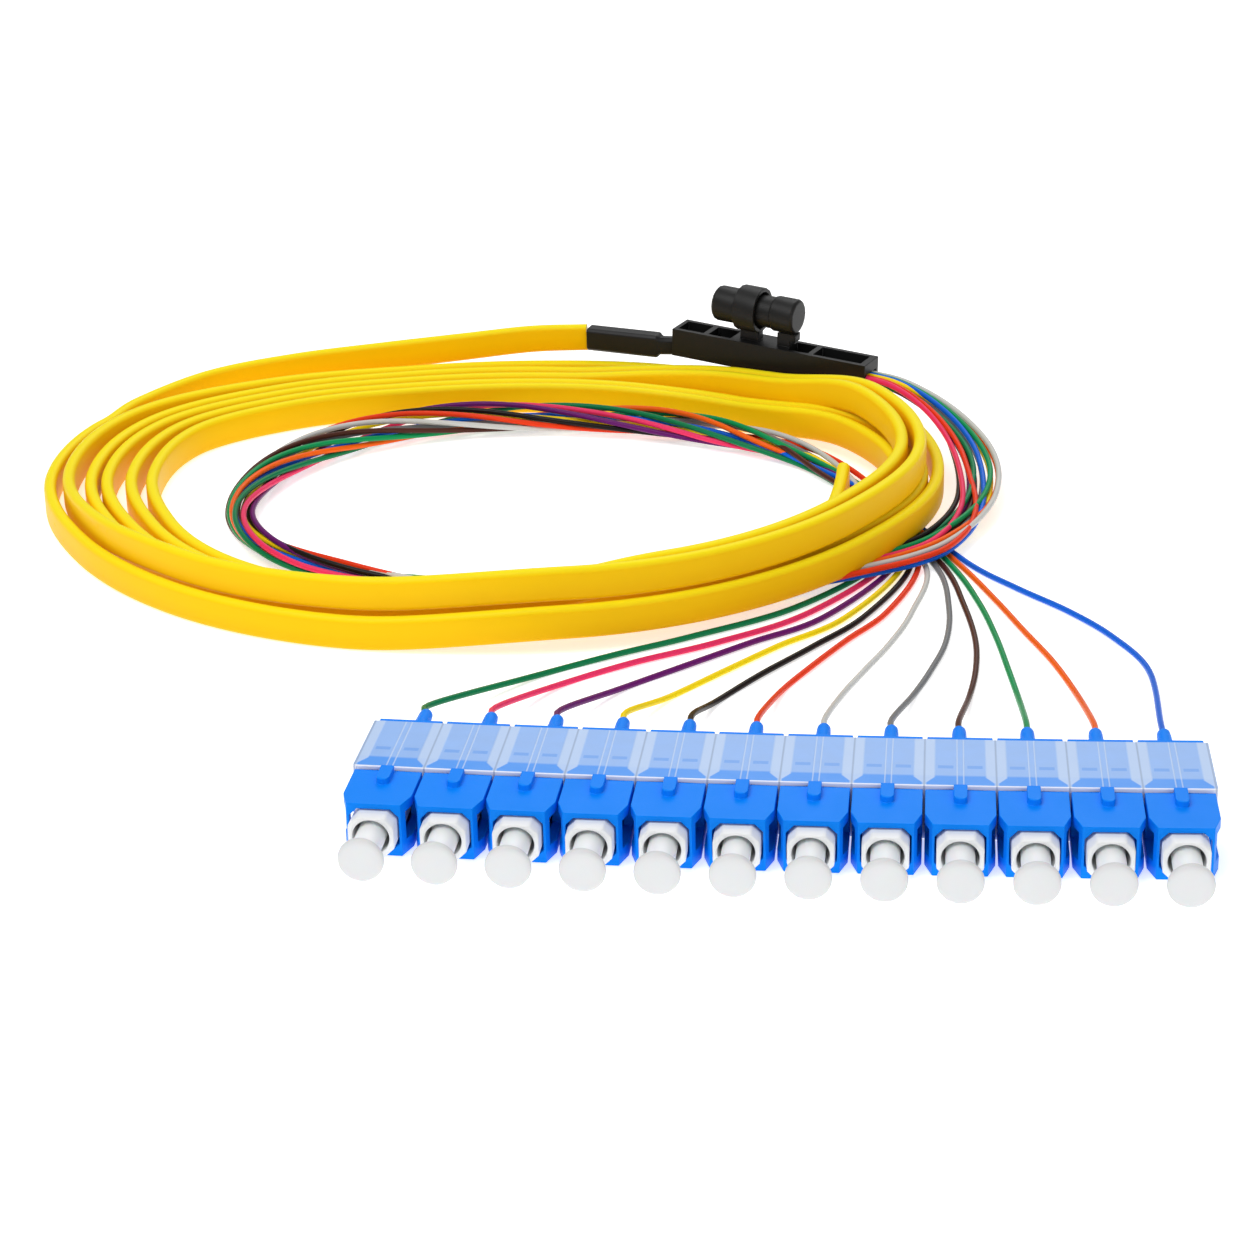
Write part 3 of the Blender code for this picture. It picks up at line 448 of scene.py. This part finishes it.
def smooth(route, spacing):
    """Catmull-Rom curve through a route: each span is a cubic of its own two knots and the two beside."""
    knots = np.asarray(route, float)
    padded = np.vstack([2 * knots[0] - knots[1], knots, 2 * knots[-1] - knots[-2]])
    before, start, end, after = padded[:-3], padded[1:-2], padded[2:-1], padded[3:]
    share = np.linspace(0.0, 1.0, 12, endpoint=False)[:, None, None]
    dense = 0.5 * (2 * start + (end - before) * share
                   + (2 * before - 5 * start + 4 * end - after) * share ** 2
                   + (3 * start - before - 3 * end + after) * share ** 3)
    dense = np.vstack([dense.transpose(1, 0, 2).reshape(-1, knots.shape[1]), knots[-1:]])
    return resample(dense, spacing)


def unit(vectors):
    """Vectors divided by their lengths."""
    return vectors / np.linalg.norm(vectors, axis=-1, keepdims=True)


def sweep(path, section):
    """Section carried along a path: point = path + x * side + y * lift.

    The side is level and square to the path, and the lift is square to both. The section is
    (sides, 2), or (rings, sides, 2) where it changes along the path.
    """
    ahead = unit(np.gradient(path, axis=0))
    side = unit(np.cross(ahead, UP))
    lift = np.cross(side, ahead)
    return path[:, None] + section[..., :1] * side[:, None] + section[..., 1:] * lift[:, None]


def circle(radius, sides):
    """Circle as (sides, 2): radius times the cosine and sine of even turns."""
    turn = np.linspace(0.0, 2 * np.pi, sides, endpoint=False)
    return radius * np.stack([np.cos(turn), np.sin(turn)], axis=1)


def rounded_bar(width, height, corner, steps=4):
    """Rectangle with round corners as (sides, 2): four quarter circles joined by straight sides."""
    turn = np.linspace(0.0, np.pi / 2, steps + 1)
    quarter = corner * np.stack([np.cos(turn), np.sin(turn)], axis=1)
    corners = []
    for number, (sign_x, sign_y) in enumerate(((1, 1), (-1, 1), (-1, -1), (1, -1))):
        spin = number * np.pi / 2
        turned = quarter @ np.array([[np.cos(spin), np.sin(spin)], [-np.sin(spin), np.cos(spin)]])
        corners.append(turned + [sign_x * (width / 2 - corner), sign_y * (height / 2 - corner)])
    return np.vstack(corners)


def add_piece(name, points, faces, finish, smooth_angle=40.0):
    """Mesh object from millimetre points, with faces outwards and soft shading below an angle."""
    mesh = bpy.data.meshes.new(name)
    mesh.from_pydata((np.asarray(points) * MM).tolist(), [], faces)
    shape = bmesh.new()
    shape.from_mesh(mesh)
    bmesh.ops.recalc_face_normals(shape, faces=shape.faces)
    shape.to_mesh(mesh)
    shape.free()
    mesh.materials.append(finish)
    mesh.shade_smooth()
    mesh.set_sharp_from_angle(angle=np.radians(smooth_angle))
    piece = bpy.data.objects.new(name, mesh)
    bpy.context.scene.collection.objects.link(piece)
    return piece


def grid_faces(rings, sides):
    """Quads between neighbouring rings, and one face over each end."""
    ring, side = np.meshgrid(np.arange(rings - 1), np.arange(sides), indexing="ij")
    beside = (side + 1) % sides
    here, after = ring * sides, (ring + 1) * sides
    quads = np.stack([here + side, here + beside, after + beside, after + side], -1).reshape(-1, 4)
    return quads.tolist() + [list(range(sides)), list(range((rings - 1) * sides, rings * sides))]


def skin(name, grid, finish, smooth_angle=40.0):
    """Closed surface over a grid of rings (rings, sides, 3)."""
    return add_piece(name, grid.reshape(-1, 3), grid_faces(*grid.shape[:2]), finish, smooth_angle)


def paint(piece, name, values):
    """Attribute on a piece's points, for its material to read."""
    attribute = piece.data.attributes.new(name, "FLOAT", "POINT")
    attribute.data.foreach_set("value", np.asarray(values, np.float32))


def reach_along(path):
    """Distance of each point along a path."""
    return np.concatenate([[0.0], np.cumsum(np.linalg.norm(np.diff(path, axis=0), axis=1))])


def dressed_copy(node, name, finish, radius, smooth_angle=35.0):
    """Copy of a CAD node's mesh with merged corners and rounded edges."""
    shape = bmesh.new()
    shape.from_mesh(bpy.data.objects[node].data)
    bmesh.ops.remove_doubles(shape, verts=shape.verts, dist=0.002 * MM)
    mesh = bpy.data.meshes.new(name)
    shape.to_mesh(mesh)
    shape.free()
    mesh.materials.append(finish)
    mesh.shade_smooth()
    piece = bpy.data.objects.new(name, mesh)
    bpy.context.scene.collection.objects.link(piece)
    bevel = piece.modifiers.new("Edges", "BEVEL")
    bevel.width = radius
    bevel.segments = 2
    bevel.limit_method = "ANGLE"
    bevel.angle_limit = np.radians(smooth_angle)
    piece.modifiers.new("Normals", "WEIGHTED_NORMAL").weight = 100
    return piece


def on_strip(points, number):
    """Points of a connector (across, forward, up) put at its place on the bowed strip."""
    angle = (number - (CONNECTORS + 1) / 2) * PITCH / STRIP_RADIUS
    across, forward, up = np.moveaxis(np.asarray(points, float), -1, 0)
    x = across * np.cos(angle) + (STRIP_RADIUS + forward) * np.sin(angle)
    y = across * np.sin(angle) + STRIP_RADIUS - (STRIP_RADIUS + forward) * np.cos(angle)
    return np.stack([x, y, up], axis=-1)


def turned(profile, number, sides):
    """Profile of (forward, radius) pairs turned about a connector's axis, at its place."""
    forward, radius = np.asarray(profile, float).T
    ring = circle(1.0, sides)
    grid = np.empty((len(forward), sides, 3))
    grid[..., 0] = radius[:, None] * ring[:, 0]
    grid[..., 1] = forward[:, None]
    grid[..., 2] = radius[:, None] * ring[:, 1] + AXIS_HEIGHT
    return on_strip(grid, number)


def between(values, position, wrap):
    """Catmull-Rom value at a fractional index of a list, which wraps round or holds its ends."""
    index = np.floor(position).astype(int)
    share = position - index
    picks = [index + step for step in (-1, 0, 1, 2)]
    picks = [pick % len(values) if wrap else np.clip(pick, 0, len(values) - 1) for pick in picks]
    before, start, end, after = (values[pick] for pick in picks)
    return 0.5 * (2 * start + (end - before) * share
                  + (2 * before - 5 * start + 4 * end - after) * share ** 2
                  + (3 * start - before - 3 * end + after) * share ** 3)


def eased(table, place):
    """Value at a place in a table of (place, value) rows, easing as 3t^2 - 2t^3 from row to row."""
    stops, values = np.array(table, float).T
    index = np.clip(np.searchsorted(stops, place, side="right") - 1, 0, len(stops) - 2)
    share = np.clip((place - stops[index]) / (stops[index + 1] - stops[index]), 0.0, 1.0)
    share = share * share * (3 - 2 * share)
    return values[index] + (values[index + 1] - values[index]) * share


def coil_path(angle):
    """Middle of the cable at angles counted on from 90 degrees: outline radius less the turn's offset."""
    step = 1.0
    turn = np.radians(angle)

    def outline(at):
        return between(OUTLINE_RADII, (at % 360.0) * len(OUTLINE_RADII) / 360.0, True)

    radius = outline(angle)
    lean = np.arctan2((outline(angle + step) - outline(angle - step)) / np.radians(2 * step), radius)
    position = np.clip((angle - 90.0) / 45.0, 0, TURN_OFFSETS.size - 1.001)
    offset = between(TURN_OFFSETS.ravel(), position, False)
    x = COIL_CENTRE[0] + radius * np.cos(turn) - offset * np.cos(turn - lean)
    y = COIL_CENTRE[1] + radius * np.sin(turn) - offset * np.sin(turn - lean)
    lift = eased(BUNDLE_LIFT, angle % 360.0)
    lift = lift + eased(SECOND_TURN_LIFT, angle) + eased(THIRD_TURN_LIFT, angle)
    return np.stack([x, y, lift + CABLE_WIDTH / 2], axis=1)


class PIGTAIL_OT_stage(bpy.types.Operator):
    """Camera, pale floor and soft lights"""

    bl_idname = "pigtail.stage"
    bl_label = "Stage"

    def execute(self, context):
        scene = context.scene
        right, up, ahead = (np.array(v) for v in (CAMERA_RIGHT, CAMERA_UP, CAMERA_AHEAD))
        tilted_right = np.cos(CAMERA_ROLL) * right + np.sin(CAMERA_ROLL) * up
        tilted_up = np.cos(CAMERA_ROLL) * up - np.sin(CAMERA_ROLL) * right
        camera = bpy.data.cameras.new("camera")
        camera.sensor_fit = "HORIZONTAL"
        camera.sensor_width = SENSOR
        camera.lens = FOCAL_PIXELS / FRAME_PIXELS * SENSOR
        camera.clip_start = 0.01
        camera.clip_end = 20.0
        viewer = bpy.data.objects.new("camera", camera)
        rows = np.stack([tilted_right, tilted_up, -ahead], axis=1)
        axes = Matrix([(*row, 0.0) for row in rows] + [(0, 0, 0, 1)])
        viewer.matrix_world = Matrix.Translation(Vector(CAMERA_PLACE) * MM) @ axes
        scene.collection.objects.link(viewer)
        scene.camera = viewer

        paper = Finish("pale_floor", (0.93, 0.93, 0.93), 0.9, {
            "Specular IOR Level": 0.1, "Emission Color": (1.0, 1.0, 1.0, 1.0),
            "Emission Strength": FLOOR_GLOW})
        speckle = paper.noise(400.0)
        paper.feed("Base Color", paper.shade(speckle * 0.3, 0.98))
        half, drop = 6000.0, -0.05
        corners = [(-half, -half, drop), (half, -half, drop), (half, half, drop), (-half, half, drop)]
        add_piece("floor", corners, [(0, 1, 2, 3)], paper.material)

        for name, place, target, size, energy in (
                ("key", (-260.0, -160.0, 620.0), (-20.0, 80.0, 0.0), 420.0, 2.5),
                ("fill", (420.0, -520.0, 360.0), (0.0, 60.0, 0.0), 520.0, 1.0),
                ("back", (60.0, 620.0, 520.0), (-20.0, 90.0, 0.0), 520.0, 1.5)):
            lamp = bpy.data.lights.new(name, "AREA")
            lamp.size = size * MM
            lamp.energy = energy
            light = bpy.data.objects.new(name, lamp)
            light.location = Vector(place) * MM
            aim = Vector(target) - Vector(place)
            light.rotation_euler = aim.to_track_quat("-Z", "Y").to_euler()
            scene.collection.objects.link(light)
        world = bpy.data.worlds.new("studio")
        world.use_nodes = True
        world.node_tree.nodes["Background"].inputs["Color"].default_value = (1.0, 1.0, 1.0, 1.0)
        world.node_tree.nodes["Background"].inputs["Strength"].default_value = ROOM_LIGHT
        scene.world = world
        scene.view_settings.view_transform = "Standard"
        return {"FINISHED"}


class PIGTAIL_OT_cable(bpy.types.Operator):
    """Flat yellow cable, from the boot through the coil to its free end"""

    bl_idname = "pigtail.cable"
    bl_label = "Flat cable"

    def execute(self, context):
        settings = context.scene.pigtail
        section = rounded_bar(CABLE_THICKNESS, CABLE_WIDTH, settings.cable_corner / MM, 5)
        coil = coil_path(np.arange(TAIL_JOIN, FREE_END_JOIN, DEGREES_PER_STEP))
        path = smooth(np.vstack([TAIL_ROUTE, coil, FREE_END_ROUTE]), CABLE_STEP)
        reach = reach_along(path)
        width = np.interp(reach, (0.0, TAPER_LENGTH), (TAPERED_WIDTH, CABLE_WIDTH)) / CABLE_WIDTH
        sections = section * np.stack([np.ones_like(width), width], axis=1)[:, None]
        grid = sweep(path, sections)
        cable = skin("flat_cable", grid, jacket("yellow_jacket", settings.cable_colour))
        paint(cable, "along", np.repeat(reach * MM, len(section)))
        paint(cable, "across", np.tile(section[:, 1] * MM, len(path)))
        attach(cable, "pigtail")
        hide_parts("cable_coil", "cable_tail", "cable_free_end")
        return {"FINISHED"}


def bundle_places(number, count):
    """A fibre's place in the bundle along it, across and up in fibre widths, and the gathered share.

    It eases between the listed orders of two layers. Where the bundle is gathered, it goes over to a
    helix, radius times the cosine and sine of an even turn, with a slow sway: some fibres are on an
    inner ring and the others are on an outer one.
    """
    shares, across, layers = [], [], []
    for share, spread, upper, lower in BUNDLE_ORDERS:
        row, layer = (upper, 1.0) if number in upper else (lower, 0.0)
        shares.append(share)
        across.append((row.index(number) - (len(row) - 1) / 2) * spread)
        layers.append(layer)
    at = np.linspace(0.0, 1.0, count)
    outer_count = CONNECTORS - CONNECTORS // INNER_EVERY
    inner = number % INNER_EVERY == 0
    rank = number / CONNECTORS if inner else (number - 1 - number // INNER_EVERY) / outer_count
    turn = 2 * np.pi * (rank + GATHERED_TWISTS * at)
    sway = np.sin(2 * np.pi * at * (3.0 + number % 3) + 2.3 * number)
    radius = (INNER_RING if inner else OUTER_RING) + SWAY_OUTWARD * sway
    ring_across = eased(GATHERED_SPREAD, at) * (radius * np.cos(turn) + SWAY_ACROSS * sway)
    ring_up = radius * np.sin(turn) + RING_HEIGHT
    layer_across = eased(list(zip(shares, across)), at)
    layer_up = eased(list(zip(shares, layers)), at) - 0.5
    gathered = eased(GATHERED, at)
    return (layer_across + (ring_across - layer_across) * gathered,
            layer_up + (ring_up - layer_up) * gathered, gathered)


def fibre_path(number):
    """Route of one fibre: its place in the bundle round the loop, and then its own line to its boot."""
    bundle = smooth(BUNDLE_ROUTE, BUNDLE_STEP)
    ahead = unit(np.gradient(bundle, axis=0))
    side = unit(np.cross(ahead, UP))
    across, up, gathered = bundle_places(number, len(bundle))
    wander = WANDER * np.sin(np.arange(len(bundle)) * 0.13 + number * 1.7)
    looped = bundle - side * ((across + wander) * FIBRE_DIAMETER * FIBRE_SPACING)[:, None]
    looped[:, 2] += up * FIBRE_DIAMETER * LAYER_SPACING
    looped += gathered[:, None] * GATHERED_SHIFT
    floor = [(x, y, FIBRE_HEIGHT) for x, y in FAN_ROUTES[number - 1]]
    lead = on_strip((0.0, BOOT_TIP - 4.0, AXIS_HEIGHT - 0.5), number)
    tip = on_strip((0.0, BOOT_TIP + 0.6, AXIS_HEIGHT), number)
    return smooth(np.vstack([looped[::3], floor, lead, tip]), FIBRE_STEP)


class PIGTAIL_OT_fibres(bpy.types.Operator):
    """Twelve coloured fibres, from the block round the loop to their connectors"""

    bl_idname = "pigtail.fibres"
    bl_label = "Fibres"

    def execute(self, context):
        section = circle(FIBRE_DIAMETER / 2, 12)
        for number, (name, colour) in enumerate(FIBRE_COLOURS, 1):
            path = fibre_path(number)
            coat = coated_fibre(f"coat_{name}", colour)
            fibre = skin(f"fibre_{name}_{number:02d}", sweep(path, section), coat, 60.0)
            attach(fibre, "pigtail")
            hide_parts("fibre_loop", f"fibre_{number:02d}")
        return {"FINISHED"}


class PIGTAIL_OT_grips(bpy.types.Operator):
    """Blue grips with rounded moulded edges"""

    bl_idname = "pigtail.grips"
    bl_label = "Grips"

    def execute(self, context):
        settings = context.scene.pigtail
        azure = moulded_plastic("azure_plastic", settings.grip_colour, 0.40,
                                constants={"Specular IOR Level": 0.08})
        for number in range(1, CONNECTORS + 1):
            node = f"grip_{number:02d}"
            grip = dressed_copy(node, f"grip_skin_{number:02d}", azure, settings.edge_radius)
            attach(grip, "pigtail")
            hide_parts(node)
        return {"FINISHED"}


def octagon(width, height, chamfer, sides=64):
    """Chamfered rectangle as (sides, 2): at each turn, the nearest of its three kinds of side.

    The upright sides are half the width off, the level ones half the height, and the sloping ones
    have a sum of x and y that is half the width and height less the chamfer.
    """
    ring = circle(1.0, sides)
    x, y = np.abs(ring).T
    upright = width / 2 / np.maximum(x, 1e-6)
    level = height / 2 / np.maximum(y, 1e-6)
    sloping = (width / 2 + height / 2 - chamfer) / (x + y)
    return ring * np.minimum.reduce([upright, level, sloping])[:, None]


class PIGTAIL_OT_plugs(bpy.types.Operator):
    """White plug frames, ferrules and blue boots"""

    bl_idname = "pigtail.plugs"
    bl_label = "Plug frames, ferrules and boots"

    def execute(self, context):
        settings = context.scene.pigtail
        white = moulded_plastic("white_plastic", settings.plug_colour, 0.36)
        azure = moulded_plastic("azure_boot", settings.grip_colour, 0.44,
                                constants={"Specular IOR Level": 0.08})
        ceramic = Finish("ceramic", (0.86, 0.85, 0.82), 0.16)
        ceramic.feed("Roughness", ceramic.noise(900.0) * 0.12 + 0.10)
        outline = octagon(*FRAME_SECTION)
        sides = len(outline)
        bore = circle(1.0, sides)
        front, floor = FRONT_OF_FRAME, FRONT_OF_FRAME - BORE_DEPTH
        rings = [(outline, 1.0, front - FRAME_LENGTH), (outline, 1.0, front - 0.22),
                 (outline, 0.985, front - 0.07), (outline, 0.96, front),
                 (bore, BORE_RADIUS + 0.1, front), (bore, BORE_RADIUS + 0.02, front - 0.06),
                 (bore, BORE_RADIUS, front - 0.15), (bore, BORE_RADIUS, floor), (bore, 0.4, floor)]
        ferrule_profile = ((floor - 0.1, FERRULE_RADIUS), (front - 1.15, FERRULE_RADIUS),
                           (front - 0.95, FERRULE_RADIUS - 0.07), (front - 0.82, FERRULE_RADIUS - 0.3),
                           (front - 0.8, 0.3))
        boot_profile = ((GRIP_REAR + 1.2, 1.5), (GRIP_REAR - 0.1, 1.5), (GRIP_REAR - 0.35, 1.42),
                        (GRIP_REAR - 0.5, 1.27), (BOOT_TIP + 3.0, 1.02), (BOOT_TIP + 1.2, 0.96),
                        (BOOT_TIP + 0.5, 0.90), (BOOT_TIP + 0.12, 0.74), (BOOT_TIP, 0.5),
                        (BOOT_TIP + 0.3, 0.44))
        for number in range(1, CONNECTORS + 1):
            grid = np.empty((len(rings), sides, 3))
            for row, (ring, scale, forward) in enumerate(rings):
                grid[row] = np.column_stack([ring[:, 0] * scale, np.full(sides, forward),
                                             ring[:, 1] * scale + AXIS_HEIGHT])
            plug = skin(f"plug_frame_{number:02d}", on_strip(grid, number), white, 50.0)
            ferrule = skin(f"ferrule_{number:02d}", turned(ferrule_profile, number, 24), ceramic.material)
            boot = skin(f"boot_skin_{number:02d}", turned(boot_profile, number, 24), azure, 50.0)
            for piece in (plug, ferrule, boot):
                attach(piece, "pigtail")
                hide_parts(f"plug_body_{number:02d}")
        return {"FINISHED"}


class PIGTAIL_OT_caps(bpy.types.Operator):
    """Dust caps with domed heads and hollow stems"""

    bl_idname = "pigtail.caps"
    bl_label = "Dust caps"

    def execute(self, context):
        settings = context.scene.pigtail
        milky = cap_plastic("cap_plastic", settings.cap_colour)
        front, back, end, sides = HEAD_FRONT, HEAD_BACK, STEM_END, 48
        profile = ((front + 0.22, 0.05), (front + 0.215, 0.9), (front + 0.19, 1.7), (front + 0.14, 2.3),
                   (front + 0.04, HEAD_RADIUS - 0.25), (front - 0.10, HEAD_RADIUS - 0.07),
                   (front - 0.3, HEAD_RADIUS), (back + 0.3, HEAD_RADIUS),
                   (back + 0.1, HEAD_RADIUS - 0.07), (back, HEAD_RADIUS - 0.25),
                   (back, STEM_RADIUS + 0.175), (back - 0.08, STEM_RADIUS + 0.025),
                   (back - 0.3, STEM_RADIUS), (end + 0.2, STEM_RADIUS), (end, STEM_RADIUS - 0.075),
                   (end, STEM_BORE + 0.1), (end + 0.2, STEM_BORE), (FRONT_OF_FRAME, STEM_BORE),
                   (FRONT_OF_FRAME, 0.05))
        forward, radius = np.array(profile).T
        # Painted shade for the head, darkest at its rim; the stem gets none
        rim = np.where(forward > back, 0.65 + 0.25 * (radius / HEAD_RADIUS) ** 7, 0.0)
        for number in range(1, CONNECTORS + 1):
            cap = skin(f"cap_skin_{number:02d}", turned(profile, number, sides), milky, 50.0)
            paint(cap, "rim", np.repeat(rim, sides))
            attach(cap, f"cap_{number:02d}")
            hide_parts(f"dust_cap_{number:02d}")
        return {"FINISHED"}


class PIGTAIL_OT_holder(bpy.types.Operator):
    """Frosted holder with its rims and ribs"""

    bl_idname = "pigtail.holder"
    bl_label = "Holder"

    def execute(self, context):
        settings = context.scene.pigtail
        clear = frosted("frosted_plastic", settings.holder_colour)
        holder = dressed_copy("holder", "holder_skin", clear, HOLDER_EDGE * MM)
        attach(holder, "pigtail")
        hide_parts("holder")
        return {"FINISHED"}


class PIGTAIL_OT_block(bpy.types.Operator):
    """Breakout block, its pin and the cable's boot"""

    bl_idname = "pigtail.block"
    bl_label = "Breakout block"

    def execute(self, context):
        settings = context.scene.pigtail
        black = moulded_plastic("black_plastic", settings.block_colour, 0.46, 2200.0, 0.02,
                                {"Specular IOR Level": 0.3})
        rubber = moulded_plastic("shrink_sleeve", (0.010, 0.010, 0.011), 0.40, 500.0, 0.03,
                                 {"Specular IOR Level": 0.25})
        for node, name, finish, slot in (("breakout_block", "block_skin", black, "block"),
                                         ("stowed_pin", "pin_skin", black, "block"),
                                         ("cable_boot", "boot_sleeve", rubber, "shrink_sleeve")):
            piece = dressed_copy(node, name, finish, BLOCK_EDGE * MM)
            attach(piece, "pigtail")
            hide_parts(node)
        return {"FINISHED"}


class PIGTAIL_PT_panel(bpy.types.Panel):
    """Settings and building steps of the pigtail in the sidebar"""

    bl_label = "Pigtail"
    bl_idname = "PIGTAIL_PT_panel"
    bl_space_type = "VIEW_3D"
    bl_region_type = "UI"
    bl_category = "Pigtail"

    def draw(self, context):
        for name in PigtailSettings.__annotations__:
            self.layout.prop(context.scene.pigtail, name)
        for operator in OPERATORS:
            self.layout.operator(operator.bl_idname)


OPERATORS = (PIGTAIL_OT_stage, PIGTAIL_OT_cable, PIGTAIL_OT_fibres, PIGTAIL_OT_grips, PIGTAIL_OT_plugs,
             PIGTAIL_OT_caps, PIGTAIL_OT_holder, PIGTAIL_OT_block)
CLASSES = (PigtailSettings, *OPERATORS, PIGTAIL_PT_panel)


def register():
    for kind in CLASSES:
        bpy.utils.register_class(kind)
    bpy.types.Scene.pigtail = PointerProperty(type=PigtailSettings)


def unregister():
    del bpy.types.Scene.pigtail
    for kind in reversed(CLASSES):
        bpy.utils.unregister_class(kind)


def main():
    register()
    bpy.ops.pigtail.stage()
    bpy.ops.pigtail.cable()
    bpy.ops.pigtail.fibres()
    bpy.ops.pigtail.grips()
    bpy.ops.pigtail.plugs()
    bpy.ops.pigtail.caps()
    bpy.ops.pigtail.holder()
    bpy.ops.pigtail.block()


if __name__ == "__main__":
    main()
